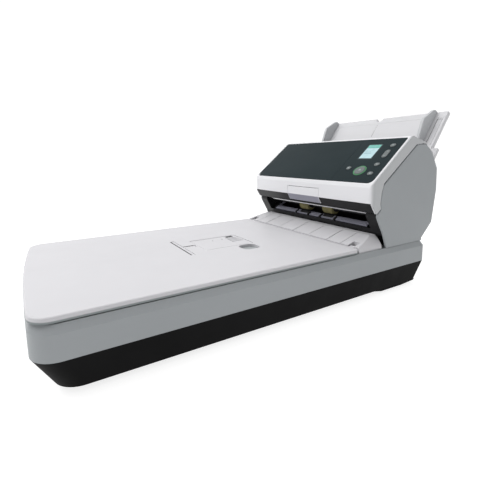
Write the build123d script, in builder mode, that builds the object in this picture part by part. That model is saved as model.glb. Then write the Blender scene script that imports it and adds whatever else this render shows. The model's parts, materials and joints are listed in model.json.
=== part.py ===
"""Sheet fed document scanner with a flatbed: a long flat case and an automatic document feeder.

Millimetres, +Z up, +X to the user's right, front of the case towards -Y.
The origin is under the middle of the whole object, on the surface that it stands on.
"""
from build123d import *
import math
import os

os.makedirs("parts", exist_ok=True)

# ---------------------------------------------------------------- driving dimensions
HALF_WIDTH = 150.0          # half the width of the case
CASE_DEPTH = 544.0          # front edge to rear wall
TRAY_BOTTOM = 6.3           # underside of the black tray
TRAY_TOP = 38.5             # black and grey halves of the case meet here
SHOULDER_Z = 63.0           # the case starts to slope inward
CASE_TOP = 70.0             # flat deck
LID_BOTTOM = 71.0
LID_TOP = 76.6
WALL = 3.0
FRONT_BOW = 5.9             # the front edge is this much further forward in the middle
FRONT_RADIUS = 25.0
REAR_RADIUS = 7.0
SHOULDER_INSET = 5.0
FRONT_INSET = 1.5           # inset of the deck at the front, under the lid's front edge

GLASS_FRONT = 66.0          # flatbed glass, distances behind the front edge
GLASS_REAR = 375.0
GLASS_HALF = 115.0
GLASS_THICK = 3.0

FEEDER_HALF = 146.0         # half the width of the feeder
FEEDER_WALL = 3.0
COVER_HINGE = (446.0, 112.0)    # (distance behind the front, height) of the cover's hinge
LID_HINGE = (404.0, 74.0)
PATH_START = (457.5, 105.0)     # paper path at the eject rollers
PATH_ANGLE = 35.0               # rise of the straight part of the paper path
STEEP_ANGLE = 47.0              # its rise behind the bend
CHUTE_TOP = (620.6, 277.1)      # front top edge of the chute
CHUTE_ANGLE = 54.0
CHUTE_THICK = 7.0
TOTAL_DEPTH = CHUTE_TOP[0] + CHUTE_THICK * math.sin(math.radians(CHUTE_ANGLE))
FRONT_Y = -TOTAL_DEPTH / 2      # the front edge; the origin is halfway to the chute's top edge
CHUTE_HALF = 132.0
CHUTE_LENGTH = 96.0
PANEL_FOOT = (418.9, 165.9)     # lower edge of the sloping panel
PANEL_ANGLE = 38.8
PANEL_HALF = 141.5
PANEL_LENGTH = 103.0
PANEL_EDGE = 1.0            # the panels start this far up the slope
LOWER_CORNER = 9.0          # rounding of the panels' lower and upper outer corners
UPPER_CORNER = 3.0
PANEL_SPLIT = 63.0              # x where the dark panel and the control panel meet
FIT = 0.05                      # radial clearance of a shaft in its hole
PIVOT_RADIUS = 0.8              # small moulded pivots of the lever, the plate and the bar


# ---------------------------------------------------------------- shared helpers
def behind(distance):
    """Y of a point that lies this far behind the front edge of the case."""
    return FRONT_Y + distance


def side_shape(points, x_start, width, mode=Mode.ADD):
    """A plate with this outline of (distance behind the front, height), extruded along X."""
    with BuildSketch(Plane.YZ.offset(x_start)) as shape:
        with BuildLine():
            Polyline([(behind(d), z) for d, z in points], close=True)
        make_face()
    extrude(shape.sketch, amount=width, mode=mode)


def block(x_range, depth_range, z_range, mode=Mode.ADD):
    """An upright block; depth_range is measured behind the front edge."""
    with BuildSketch(Plane.XY.offset(z_range[0])) as shape:
        with Locations((sum(x_range) / 2, behind(sum(depth_range) / 2))):
            Rectangle(x_range[1] - x_range[0], depth_range[1] - depth_range[0])
    extrude(shape.sketch, amount=z_range[1] - z_range[0], mode=mode)


def bar_x(centre, radius, x_range, mode=Mode.ADD):
    """A round bar or hole along X; centre is (distance behind the front, height)."""
    with BuildSketch(Plane.YZ.offset(x_range[0])) as shape:
        with Locations((behind(centre[0]), centre[1])):
            Circle(radius)
    extrude(shape.sketch, amount=x_range[1] - x_range[0], mode=mode)


def bar_y(x, z, radius, depth_range, mode=Mode.ADD):
    """A round bar or hole along Y."""
    with BuildSketch(Plane.XZ.offset(-behind(depth_range[0]))) as shape:
        with Locations((x, z)):
            Circle(radius)
    extrude(shape.sketch, amount=-(depth_range[1] - depth_range[0]), mode=mode)


def bar_z(x, depth, radius, z_range, mode=Mode.ADD):
    """A round bar or hole along Z."""
    with BuildSketch(Plane.XY.offset(z_range[0])) as shape:
        with Locations((x, behind(depth))):
            Circle(radius)
    extrude(shape.sketch, amount=z_range[1] - z_range[0], mode=mode)


def slab(plane, x_range, y_range, thickness, mode=Mode.ADD):
    """A rectangular plate on a sloping plane, from the plane along its normal."""
    with BuildSketch(plane) as shape:
        with Locations((sum(x_range) / 2, sum(y_range) / 2)):
            Rectangle(x_range[1] - x_range[0], y_range[1] - y_range[0])
    extrude(shape.sketch, amount=thickness, mode=mode)


def pin_on(plane, centre, radius, length, mode=Mode.ADD):
    """A round pin or hole along the normal of a sloping plane."""
    with BuildSketch(plane) as shape:
        with Locations(centre):
            Circle(radius)
    extrude(shape.sketch, amount=length, mode=mode)


def save(item, name):
    """Label a finished piece and write it to its file."""
    item.part.label = name
    export_step(item.part, "parts/" + name + ".step")


def sloping_plane(foot, angle):
    """A plane whose local y climbs towards the rear at this angle and whose normal faces front."""
    tilt = math.radians(angle)
    return Plane(
        origin=(0, behind(foot[0]), foot[1]),
        x_dir=(1, 0, 0),
        z_dir=(0, -math.sin(tilt), math.cos(tilt)),
    )


PANEL_PLANE = sloping_plane(PANEL_FOOT, PANEL_ANGLE)
CHUTE_PLANE = sloping_plane(CHUTE_TOP, CHUTE_ANGLE)
PATH_PLANE = sloping_plane(PATH_START, PATH_ANGLE)


def path_point(along, below=0.0):
    """A point this far up the straight paper path and this far under it."""
    tilt = math.radians(PATH_ANGLE)
    return (
        PATH_START[0] + along * math.cos(tilt) + below * math.sin(tilt),
        PATH_START[1] + along * math.sin(tilt) - below * math.cos(tilt),
    )


# ---------------------------------------------------------------- case
def case_outline(height, side, front, rear, radius=FRONT_RADIUS):
    """The plan of the case at one height, inset from its largest outline."""
    half = HALF_WIDTH - side
    front_y = behind(front)
    rear_y = behind(CASE_DEPTH - rear)
    with BuildSketch(Plane.XY.offset(height)) as plan:
        with BuildLine():
            Line((half, front_y + FRONT_BOW), (half, rear_y))
            Line((half, rear_y), (-half, rear_y))
            Line((-half, rear_y), (-half, front_y + FRONT_BOW))
            ThreePointArc(
                (-half, front_y + FRONT_BOW), (0, front_y), (half, front_y + FRONT_BOW)
            )
        make_face()
        fillet(plan.vertices().sort_by(Axis.Y)[:2], radius)
        fillet(plan.vertices().sort_by(Axis.Y)[-2:], REAR_RADIUS)
    return plan.sketch


TRAY_SIDE_TAPER = 8.0
TRAY_FRONT_TAPER = 17.0
TRAY_REAR_TAPER = 9.0
SUMP_HALF = 141.6
SUMP_BOTTOM = 3.0
# lower rear part of the tray
SUMP_OUTLINE = [(430.0, 7.0), (452.0, SUMP_BOTTOM), (500.0, SUMP_BOTTOM), (531.0, 5.0), (533.5, 7.0)]
POSTS = [(x, d) for x in (-132.0, 132.0) for d in (42.0, 415.0)]
POST_RADIUS = 4.5
POST_BORE = 1.8
SCREW_HEAD_BORE = 3.4
SCREW_HEAD_SINK = 5.0
SCREW_TIP_Z = 49.0
BOARD_POST_TOP = 40.0
BOARD_POSTS = [(x, d) for x in (-104.0, 34.0) for d in (456.0, 520.0)]
ROD_X = -20.0
ROD_Z = 26.0
ROD_RADIUS = 4.0
ROD_DEPTHS = (48.0, 418.0)
CRADLE_HALF = 8.0
ROD_CRADLES = ((48.0, 56.0), (410.0, 418.0))
BELT_X = 15.0
PULLEY_DEPTHS = (45.0, 425.0)   # idler pulley, motor pulley
PULLEY_BORE = 2.0
AXLE_TOP_Z = 30.0
COLLAR_RADIUS = 4.0
COLLAR_TOP_Z = 18.6
PULLEY_LOW_Z = 19.0
PULLEY_HIGH_Z = 28.4

with BuildPart() as base_tray:
    loft([
        case_outline(TRAY_BOTTOM, TRAY_SIDE_TAPER, TRAY_FRONT_TAPER, TRAY_REAR_TAPER),
        case_outline(TRAY_TOP, 0, 0, 0),
    ])
    loft(
        [
            case_outline(
                TRAY_BOTTOM + WALL, TRAY_SIDE_TAPER + 2.3, TRAY_FRONT_TAPER + 1.5, TRAY_REAR_TAPER + 2.3
            ),
            case_outline(TRAY_TOP, WALL, WALL, WALL),
        ],
        mode=Mode.SUBTRACT,
    )
    side_shape(SUMP_OUTLINE, -SUMP_HALF, 2 * SUMP_HALF)
    # screw posts, board posts, rod cradles and the idler pulley's post
    for post_x, post_depth in POSTS:
        bar_z(post_x, post_depth, POST_RADIUS, (TRAY_BOTTOM + WALL, TRAY_TOP))
        bar_z(post_x, post_depth, POST_BORE, (TRAY_BOTTOM, TRAY_TOP), Mode.SUBTRACT)
        head_z = (TRAY_BOTTOM, TRAY_BOTTOM + SCREW_HEAD_SINK)
        bar_z(post_x, post_depth, SCREW_HEAD_BORE, head_z, Mode.SUBTRACT)
    for post_x, post_depth in BOARD_POSTS:
        bar_z(post_x, post_depth, 3.0, (TRAY_BOTTOM + WALL, BOARD_POST_TOP))
    for cradle in ROD_CRADLES:
        block((ROD_X - CRADLE_HALF, ROD_X + CRADLE_HALF), cradle, (TRAY_BOTTOM + WALL, ROD_Z))
    bar_y(ROD_X, ROD_Z, ROD_RADIUS, ROD_DEPTHS, Mode.SUBTRACT)
    bar_z(BELT_X, PULLEY_DEPTHS[0], PULLEY_BORE, (TRAY_BOTTOM + WALL, AXLE_TOP_Z))
    bar_z(BELT_X, PULLEY_DEPTHS[0], COLLAR_RADIUS, (TRAY_BOTTOM + WALL, COLLAR_TOP_Z))
save(base_tray, "base_tray")

PORT_Z = 49.0
LEDGE = 4.0                     # the glass lies on a ledge of this width
SEAT_GAP = 0.2                  # the glass lies this much below the deck
THREAD_BORE = 1.5
PORTS = {"power": (-96.0, 14.0, 11.0), "usb": (-66.0, 12.0, 11.0), "network": (-36.0, 16.0, 13.5)}

with BuildPart() as upper_case:
    extrude(case_outline(TRAY_TOP, 0, 0, 0), amount=SHOULDER_Z - TRAY_TOP)
    loft([
        case_outline(SHOULDER_Z, 0, 0, 0),
        case_outline(CASE_TOP, SHOULDER_INSET, FRONT_INSET, 2.0),
    ])
    inner = case_outline(TRAY_TOP, WALL, WALL, WALL)
    extrude(inner, amount=SHOULDER_Z - TRAY_TOP - 2, mode=Mode.SUBTRACT)
    inner_inset = WALL + SHOULDER_INSET
    loft(
        [
            case_outline(SHOULDER_Z - 2, WALL, WALL, WALL),
            case_outline(CASE_TOP - WALL - 1, inner_inset, inner_inset, WALL + 2),
        ],
        mode=Mode.SUBTRACT,
    )
    # window with a ledge for the glass
    block(
        (-GLASS_HALF - LEDGE - 1, GLASS_HALF + LEDGE + 1),
        (GLASS_FRONT - LEDGE - 1, GLASS_REAR + LEDGE + 1),
        (CASE_TOP - 6, CASE_TOP - 4),
    )
    block(
        (-GLASS_HALF + LEDGE, GLASS_HALF - LEDGE),
        (GLASS_FRONT + LEDGE, GLASS_REAR - LEDGE),
        (CASE_TOP - 10, CASE_TOP + 2),
        Mode.SUBTRACT,
    )
    seat_z = CASE_TOP - GLASS_THICK - SEAT_GAP
    block((-GLASS_HALF, GLASS_HALF), (GLASS_FRONT, GLASS_REAR), (seat_z, CASE_TOP + 2), Mode.SUBTRACT)
    for post_x, post_depth in POSTS:
        bar_z(post_x, post_depth, POST_RADIUS, (TRAY_TOP, CASE_TOP - WALL))
        bar_z(post_x, post_depth, THREAD_BORE, (TRAY_TOP, SCREW_TIP_Z + 1), Mode.SUBTRACT)
    for port_x, port_width, port_height in PORTS.values():
        block(
            (port_x - port_width / 2, port_x + port_width / 2),
            (CASE_DEPTH - 12, CASE_DEPTH + 4),
            (PORT_Z - port_height / 2, PORT_Z + port_height / 2),
            Mode.SUBTRACT,
        )
save(upper_case, "upper_case")

with BuildPart() as platen_glass:
    block(
        (-GLASS_HALF + 0.5, GLASS_HALF - 0.5),
        (GLASS_FRONT + 0.5, GLASS_REAR - 0.5),
        (seat_z, seat_z + GLASS_THICK),
    )
save(platen_glass, "platen_glass")

FOOT_X = 112.0
FOOT_RADIUS = 9.0

with BuildPart() as rubber_feet:
    for foot_x in (-FOOT_X, FOOT_X):
        for foot_depth, foot_top in ((70.0, TRAY_BOTTOM), (482.0, SUMP_BOTTOM)):
            bar_z(foot_x, foot_depth, FOOT_RADIUS, (0, foot_top))
    chamfer(rubber_feet.faces().filter_by(Axis.Z).group_by(Axis.Z)[0].edges(), 0.7)
save(rubber_feet, "rubber_feet")

SCREW_HEAD_RADIUS = 3.0
SCREW_HEAD_Z = TRAY_BOTTOM + 2.6
CROSS_LENGTH = 3.6
CROSS_WIDTH = 0.7

with BuildPart() as case_screws:
    for post_x, post_depth in POSTS:
        bar_z(post_x, post_depth, SCREW_HEAD_RADIUS, (SCREW_HEAD_Z, TRAY_BOTTOM + SCREW_HEAD_SINK))
        bar_z(post_x, post_depth, THREAD_BORE, (TRAY_BOTTOM + SCREW_HEAD_SINK, SCREW_TIP_Z))
        with BuildSketch(Plane.XY.offset(SCREW_HEAD_Z)):
            with Locations((post_x, behind(post_depth))):
                Rectangle(CROSS_LENGTH, CROSS_WIDTH)
                Rectangle(CROSS_WIDTH, CROSS_LENGTH)
        extrude(amount=1.2, mode=Mode.SUBTRACT)
save(case_screws, "case_screws")

# ---------------------------------------------------------------- flatbed scanning
with BuildPart() as guide_rod:
    bar_y(ROD_X, ROD_Z, ROD_RADIUS, ROD_DEPTHS)
save(guide_rod, "guide_rod")

CARRIAGE_DEPTH = 388.0          # parked behind the glass
CARRIAGE_HALF = 13.0
CARRIAGE_X = 112.0
CARRIAGE_Z = (36.0, 58.0)
BEARING_HALF = 10.0             # half the width of the block that slides on the rod

with BuildPart() as carriage:
    carriage_depths = (CARRIAGE_DEPTH - CARRIAGE_HALF, CARRIAGE_DEPTH + CARRIAGE_HALF)
    block((-CARRIAGE_X, CARRIAGE_X), carriage_depths, CARRIAGE_Z)
    bearing_depths = (CARRIAGE_DEPTH - CARRIAGE_HALF - 3, CARRIAGE_DEPTH + CARRIAGE_HALF + 3)
    block((ROD_X - BEARING_HALF, ROD_X + BEARING_HALF), bearing_depths, (16.5, CARRIAGE_Z[0]))
    bar_y(ROD_X, ROD_Z, ROD_RADIUS + FIT, (CARRIAGE_DEPTH - 20, CARRIAGE_DEPTH + 20), Mode.SUBTRACT)
    # clamp beside the belt
    block((4.2, 7.4), (CARRIAGE_DEPTH - 9, CARRIAGE_DEPTH + 9), (PULLEY_LOW_Z, CARRIAGE_Z[0]))
    # lens bar with its slit
    block((-108, 108), (CARRIAGE_DEPTH - 8, CARRIAGE_DEPTH + 8), (CARRIAGE_Z[1], CARRIAGE_Z[1] + 2))
    block((-106, 106), (CARRIAGE_DEPTH - 1.2, CARRIAGE_DEPTH + 1.2), (58.8, 61), Mode.SUBTRACT)
save(carriage, "carriage")

PULLEY_RADIUS = 5.6
FLANGE_RADIUS = 7.6


def make_pulley(depth):
    """A flanged belt pulley standing on its post."""
    bar_z(BELT_X, depth, PULLEY_RADIUS, (PULLEY_LOW_Z, PULLEY_HIGH_Z))
    bar_z(BELT_X, depth, FLANGE_RADIUS, (PULLEY_LOW_Z, PULLEY_LOW_Z + 1))
    bar_z(BELT_X, depth, FLANGE_RADIUS, (PULLEY_HIGH_Z - 1, PULLEY_HIGH_Z))
    bar_z(BELT_X, depth, PULLEY_BORE + FIT, (PULLEY_LOW_Z, PULLEY_HIGH_Z), Mode.SUBTRACT)


with BuildPart() as motor_pulley:
    make_pulley(PULLEY_DEPTHS[1])
save(motor_pulley, "motor_pulley")

with BuildPart() as idler_pulley:
    make_pulley(PULLEY_DEPTHS[0])
save(idler_pulley, "idler_pulley")

with BuildPart() as carriage_belt:
    with BuildSketch(Plane.XY.offset(20.4)):
        with Locations((BELT_X, behind(sum(PULLEY_DEPTHS) / 2))):
            span = PULLEY_DEPTHS[1] - PULLEY_DEPTHS[0]
            SlotCenterToCenter(span, 2 * (PULLEY_RADIUS + 1.5), rotation=90)
            SlotCenterToCenter(span, 2 * (PULLEY_RADIUS + 0.3), rotation=90, mode=Mode.SUBTRACT)
    extrude(amount=6.6)
save(carriage_belt, "carriage_belt")

MOTOR_RADIUS = 17.0
MOTOR_TOP_Z = 17.6

with BuildPart() as carriage_motor:
    bar_z(BELT_X, PULLEY_DEPTHS[1], MOTOR_RADIUS, (TRAY_BOTTOM + WALL, MOTOR_TOP_Z))
    bar_z(BELT_X, PULLEY_DEPTHS[1], COLLAR_RADIUS, (MOTOR_TOP_Z, COLLAR_TOP_Z))
    bar_z(BELT_X, PULLEY_DEPTHS[1], PULLEY_BORE, (COLLAR_TOP_Z, AXLE_TOP_Z))
save(carriage_motor, "carriage_motor")

BOARD_X = (-110.0, 40.0)
BOARD_DEPTHS = (450.0, 526.0)
BOARD_TOP = BOARD_POST_TOP + 1.6
CHIPS = ((-40, 480, 24), (-75, 475, 14), (0, 490, 18), (22, 468, 10))    # x, depth, size

with BuildPart() as main_board:
    block(BOARD_X, BOARD_DEPTHS, (BOARD_POST_TOP, BOARD_TOP))
    for chip_x, chip_depth, chip_size in CHIPS:
        block(
            (chip_x - chip_size / 2, chip_x + chip_size / 2),
            (chip_depth - chip_size / 2, chip_depth + chip_size / 2),
            (BOARD_TOP, BOARD_TOP + 2.4),
        )
save(main_board, "main_board")

with BuildPart() as rear_ports:
    for port_x, port_width, port_height in PORTS.values():
        block(
            (port_x - port_width / 2 + 0.3, port_x + port_width / 2 - 0.3),
            (CASE_DEPTH - 17, CASE_DEPTH - 0.6),
            (PORT_Z - port_height / 2 + 0.3, PORT_Z + port_height / 2 - 0.3),
        )
    # round power inlet with its centre pin
    bar_y(PORTS["power"][0], PORT_Z, 3.4, (CASE_DEPTH - 11, CASE_DEPTH), Mode.SUBTRACT)
    bar_y(PORTS["power"][0], PORT_Z, 0.9, (CASE_DEPTH - 12, CASE_DEPTH - 2))
    # square data socket with its tongue
    usb_x = PORTS["usb"][0]
    usb_depths = (CASE_DEPTH - 10, CASE_DEPTH)
    block((usb_x - 4.2, usb_x + 4.2), usb_depths, (PORT_Z - 3.9, PORT_Z + 3.9), Mode.SUBTRACT)
    block((usb_x - 2.8, usb_x + 2.8), (CASE_DEPTH - 10.5, CASE_DEPTH - 2), (PORT_Z - 1.5, PORT_Z + 1.5))
    # network socket
    net_x = PORTS["network"][0]
    net_depths = (CASE_DEPTH - 13, CASE_DEPTH)
    block((net_x - 6, net_x + 6), net_depths, (PORT_Z - 4.4, PORT_Z + 4.4), Mode.SUBTRACT)
    block((net_x - 2.5, net_x + 2.5), net_depths, (PORT_Z + 4.3, PORT_Z + 5.6), Mode.SUBTRACT)
save(rear_ports, "rear_ports")

# ---------------------------------------------------------------- feeder housing
SIDE_COVER_OUTLINE = [
    (453.6, 70.1), (445.2, 91.8), (433.1, 112.6), (430.6, 117.5), (430.9, 122.6),
    (438.3, 128.3), (436.4, 136.4), (438.3, 152.2), (441.5, 162.6), (517.6, 220.6),
    (539.4, 221.7), (555.7, 210.2), (572.6, 184.0), (574.0, 149.3), (565.8, 97.1),
    (540.4, 74.2), (540.4, 70.1),
]
SIDE_COVER_EDGE = 1.2

with BuildPart() as adf_side_cover_left:
    side_shape(SIDE_COVER_OUTLINE, -FEEDER_HALF, FEEDER_WALL)
    fillet(adf_side_cover_left.faces().sort_by(Axis.X)[0].edges(), SIDE_COVER_EDGE)
save(adf_side_cover_left, "adf_side_cover_left")

with BuildPart() as adf_side_cover_right:
    side_shape(SIDE_COVER_OUTLINE, FEEDER_HALF - FEEDER_WALL, FEEDER_WALL)
    fillet(adf_side_cover_right.faces().sort_by(Axis.X)[-1].edges(), SIDE_COVER_EDGE)
save(adf_side_cover_right, "adf_side_cover_right")

INNER_HALF = FEEDER_HALF - FEEDER_WALL - 0.2

REAR_COVER_OUTLINE = [
    (540.2, 70.1), (540.2, 74.4), (565.5, 97.3), (573.6, 149.3), (572.3, 184.0), (571.2, 189.0),
    (567.9, 188.6), (569.3, 184.0), (570.6, 149.5), (562.7, 98.7), (537.2, 75.7), (537.2, 70.1),
]

with BuildPart() as adf_rear_cover:
    side_shape(REAR_COVER_OUTLINE, -INNER_HALF, 2 * INNER_HALF)
    # ventilation slots
    for slot_x in range(-100, 101, 10):
        block((slot_x - 1.5, slot_x + 1.5), (566, 576), (120, 140), Mode.SUBTRACT)
save(adf_rear_cover, "adf_rear_cover")

FIN_POSITIONS = (-49.0, -15.0, 15.0, 49.0)
FIN_OUTLINE = [(443.6, 96.0), (445.0, 100.2), (452.0, 104.0), (452.0, 101.0), (446.2, 96.0)]

with BuildPart() as mouth_bezel:
    side_shape(
        [(447.6, 88.3), (430.9, 117.4), (431.2, 122.2), (432.6, 121.6), (449.15, 89.2)],
        -INNER_HALF,
        2 * INNER_HALF,
    )
    block((-125, 125), (420, 470), (97, 130), Mode.SUBTRACT)
    for fin_x in FIN_POSITIONS:
        side_shape(FIN_OUTLINE, fin_x - 1.5, 3)
save(mouth_bezel, "mouth_bezel")

RAMP_FRONT = 398.0
RAMP_REAR = 446.0
RAMP_HALF = 143.0
RAMP_INNER = 117.0
RAMP_CREST = 434.6              # the slope ends here
CREST_Z = 88.6
FRONT_EDGE_Z = 77.6
DECK_Z = 70.1                   # pieces that stand on the deck start just above it
ARM_X = (123.0, 133.0)
# grooves of the ramp: x, depth, width
GROOVES = [(x, 1.5, 1.4) for x in (-80.0, 0.0, 80.0)] + [(x, 0.8, 0.9) for x in (-108.0, -39.0, 39.0, 108.0)]

with BuildPart() as eject_ramp:
    side_shape(
        [
            (RAMP_FRONT, DECK_Z), (RAMP_FRONT, FRONT_EDGE_Z), (RAMP_CREST, CREST_Z),
            (RAMP_REAR, CREST_Z + 0.2), (RAMP_REAR, DECK_Z),
        ],
        -RAMP_HALF,
        2 * RAMP_HALF,
    )
    # rounded shoulders
    with BuildSketch(Plane.XZ.offset(-behind(RAMP_FRONT - 2))):
        with BuildLine():
            Line((-RAMP_HALF, 60), (-RAMP_HALF, 71))
            Spline((-RAMP_HALF, 71), (-138.5, 81), (-126, 90), tangents=((0, 1), (1, 0.25)))
            Line((-126, 90), (126, 90))
            Spline((126, 90), (138.5, 81), (RAMP_HALF, 71), tangents=((1, -0.25), (0, -1)))
            Line((RAMP_HALF, 71), (RAMP_HALF, 60))
            Line((RAMP_HALF, 60), (-RAMP_HALF, 60))
        make_face()
    extrude(amount=-(RAMP_REAR - RAMP_FRONT + 4), mode=Mode.INTERSECT)
    side_shape(
        [(400.4, 70.0), (400.4, 75.6), (RAMP_CREST, 86.0), (443.6, 86.2), (443.6, 70.0)],
        -RAMP_INNER,
        2 * RAMP_INNER,
        Mode.SUBTRACT,
    )
    for side in (-1, 1):
        block(sorted((side * RAMP_INNER, side * 138)), (400.4, 409), (70, 77), Mode.SUBTRACT)
    for groove_x, groove_depth, groove_width in GROOVES:
        side_shape(
            [
                (RAMP_FRONT - 1, FRONT_EDGE_Z - 0.3 - groove_depth), (RAMP_CREST, CREST_Z - groove_depth),
                (RAMP_CREST, 92), (RAMP_FRONT - 1, 92),
            ],
            groove_x - groove_width / 2,
            groove_width,
            Mode.SUBTRACT,
        )
    for side in (-1, 1):
        slot_edges = sorted((side * (ARM_X[0] - 0.8), side * (ARM_X[1] + 0.8)))
        block(slot_edges, (RAMP_FRONT - 1, 411), (70, 90), Mode.SUBTRACT)
save(eject_ramp, "eject_ramp")

EAR_THICK = 3.0
EAR_GAP = 0.4
LID_PIN_RADIUS = 1.5

with BuildPart() as lid_hinge_brackets:
    for side in (-1, 1):
        for ear in (ARM_X[0] - EAR_GAP - EAR_THICK, ARM_X[1] + EAR_GAP):
            ear_edges = sorted((side * ear, side * (ear + EAR_THICK)))
            block(ear_edges, (401.2, 407.2), (DECK_Z, LID_HINGE[1]))
            bar_x(LID_HINGE, 2.4, ear_edges)
        reach = EAR_GAP + EAR_THICK
        pin_edges = sorted((side * (ARM_X[0] - reach), side * (ARM_X[1] + reach)))
        bar_x(LID_HINGE, LID_PIN_RADIUS, pin_edges)
save(lid_hinge_brackets, "lid_hinge_brackets")

# ---------------------------------------------------------------- paper path, fixed side
FRAME_X = 128.0
FRAME_THICK = 2.0
SHAFT_RADIUS = 3.0
EJECT_AXIS = (457.5, 95.2)
FEED_AXIS = path_point(60, 10.3)
PICK_AXIS = (555.5, 170.6)
FRAME_OUTLINE = [
    (452.0, 70.1), (450.6, 90.0), (442.8, 104.6), (439.0, 111.5), (440.6, 118.6), (449.0, 122.2),
    (470.0, 125.5), (505.0, 149.0), (539.0, 181.0), (556.0, 190.0), (567.0, 187.0), (569.4, 149.5),
    (561.5, 99.3), (536.4, 76.3), (536.4, 70.1),
]

with BuildPart() as adf_frames:
    for frame_start in (-FRAME_X - FRAME_THICK, FRAME_X):
        side_shape(FRAME_OUTLINE, frame_start, FRAME_THICK)
        for axis in (EJECT_AXIS, FEED_AXIS, PICK_AXIS):
            bar_x(axis, SHAFT_RADIUS + FIT, (frame_start, frame_start + FRAME_THICK), Mode.SUBTRACT)
        # lightening hole
        bar_x((520, 105), 12, (frame_start, frame_start + FRAME_THICK), Mode.SUBTRACT)
save(adf_frames, "adf_frames")

COVER_PIN_RADIUS = 3.0
COVER_PIN_LENGTH = 12.0

with BuildPart() as cover_hinge_pins:
    for pin_start in (-FRAME_X - FRAME_THICK - COVER_PIN_LENGTH, FRAME_X + FRAME_THICK):
        bar_x(COVER_HINGE, COVER_PIN_RADIUS, (pin_start, pin_start + COVER_PIN_LENGTH))
save(cover_hinge_pins, "cover_hinge_pins")

TYRES = (-30.0, 30.0)
TYRE_WIDTH = 22.0
PICK_TYRES = (-18.0, 18.0)
PICK_TYRE_WIDTH = 24.0
FEED_TYRES = (-75.0, -30.0, 30.0, 75.0)
FEED_TYRE_WIDTH = 20.0
DRIVE_TYRE_RADIUS = 10.0
TYRE_GAP = 0.6                  # between a tyre and the edge of its opening in the paper guide


def make_roller(axis, tyre_radius, tyre_centres, tyre_width):
    """A shaft that runs in both frames, with its tyres."""
    shaft_half = FRAME_X + FRAME_THICK + 1
    bar_x(axis, SHAFT_RADIUS, (-shaft_half, shaft_half))
    for centre in tyre_centres:
        bar_x(axis, tyre_radius, (centre - tyre_width / 2, centre + tyre_width / 2))


PULLEY_X = (-124.0, -116.0)     # belt drive of the feeder, beside the left frame
DRIVE_RADIUS = 7.0
MOTOR_AXIS = (524.0, 92.0)
MOTOR_END = -113.0
MOTOR_SHAFT = 2.5


def make_drive_pulley(axis):
    """A belt pulley with flanges on a feeder shaft."""
    bar_x(axis, DRIVE_RADIUS, PULLEY_X)
    bar_x(axis, DRIVE_RADIUS + 1.8, (PULLEY_X[0], PULLEY_X[0] + 1))
    bar_x(axis, DRIVE_RADIUS + 1.8, (PULLEY_X[1] - 1, PULLEY_X[1]))


with BuildPart() as pick_roller:
    make_roller(PICK_AXIS, DRIVE_TYRE_RADIUS, PICK_TYRES, PICK_TYRE_WIDTH)
save(pick_roller, "pick_roller")

with BuildPart() as feed_roller:
    make_roller(FEED_AXIS, DRIVE_TYRE_RADIUS, FEED_TYRES, FEED_TYRE_WIDTH)
    make_drive_pulley(FEED_AXIS)
save(feed_roller, "feed_roller")

with BuildPart() as eject_roller:
    make_roller(EJECT_AXIS, 9.2, TYRES, TYRE_WIDTH)
    make_drive_pulley(EJECT_AXIS)
save(eject_roller, "eject_roller")

with BuildPart() as adf_motor:
    bar_x(MOTOR_AXIS, 16, (MOTOR_END, MOTOR_END + 33))
    bar_x(MOTOR_AXIS, 6, (MOTOR_END - 1.5, MOTOR_END))
    bar_x(MOTOR_AXIS, MOTOR_SHAFT, (-126, MOTOR_END - 1.5))
    block((-108, -84), (MOTOR_AXIS[0] - 12, MOTOR_AXIS[0] + 12), (DECK_Z, 80))
save(adf_motor, "adf_motor")

with BuildPart() as adf_motor_pulley:
    make_drive_pulley(MOTOR_AXIS)
    bar_x(MOTOR_AXIS, MOTOR_SHAFT + FIT, PULLEY_X, Mode.SUBTRACT)
save(adf_motor_pulley, "adf_motor_pulley")

BELT_EDGES = (PULLEY_X[0] + 1.4, PULLEY_X[1] - 1.4)


def belt_loop(radius, mode):
    """The area inside a belt that runs round the three drive pulleys."""
    with BuildSketch(Plane.YZ.offset(BELT_EDGES[0])) as shape:
        for axis in (EJECT_AXIS, FEED_AXIS, MOTOR_AXIS):
            with Locations((behind(axis[0]), axis[1])):
                Circle(radius)
        make_hull()
    extrude(shape.sketch, amount=BELT_EDGES[1] - BELT_EDGES[0], mode=mode)


with BuildPart() as adf_belt:
    belt_loop(DRIVE_RADIUS + 1.5, Mode.ADD)
    belt_loop(DRIVE_RADIUS + 0.3, Mode.SUBTRACT)
save(adf_belt, "adf_belt")

SCAN_HALF = 112.0
SCAN_ALONG = (19.0, 45.0)       # stretch of the paper path that the scan units take
WINDOW_HALF = 109.0
WINDOW_ALONG = (24.0, 40.0)
WINDOW_SINK = 0.6

with BuildPart() as lower_scan_unit:
    slab(PATH_PLANE.offset(-1.2), (-SCAN_HALF, SCAN_HALF), SCAN_ALONG, -23)
    slab(PATH_PLANE.offset(-1.2), (-WINDOW_HALF, WINDOW_HALF), WINDOW_ALONG, -WINDOW_SINK, Mode.SUBTRACT)
save(lower_scan_unit, "lower_scan_unit")


def guide_ribbon(start, bend, end, below, thickness, half):
    """A bent sheet that follows the paper path on one side of it."""
    tilt = math.radians(PATH_ANGLE)
    steep = math.radians(STEEP_ANGLE)
    sign = 1 if below > 0 else -1
    near = [
        path_point(start, below),
        path_point(bend, below),
        (end[0] + below * math.sin(steep), end[1] - below * math.cos(steep)),
    ]
    far_below = below + sign * thickness
    far = [
        (end[0] + far_below * math.sin(steep), end[1] - far_below * math.cos(steep)),
        path_point(bend, far_below),
        path_point(start, far_below),
    ]
    side_shape(near + far, -half, 2 * half)


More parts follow.
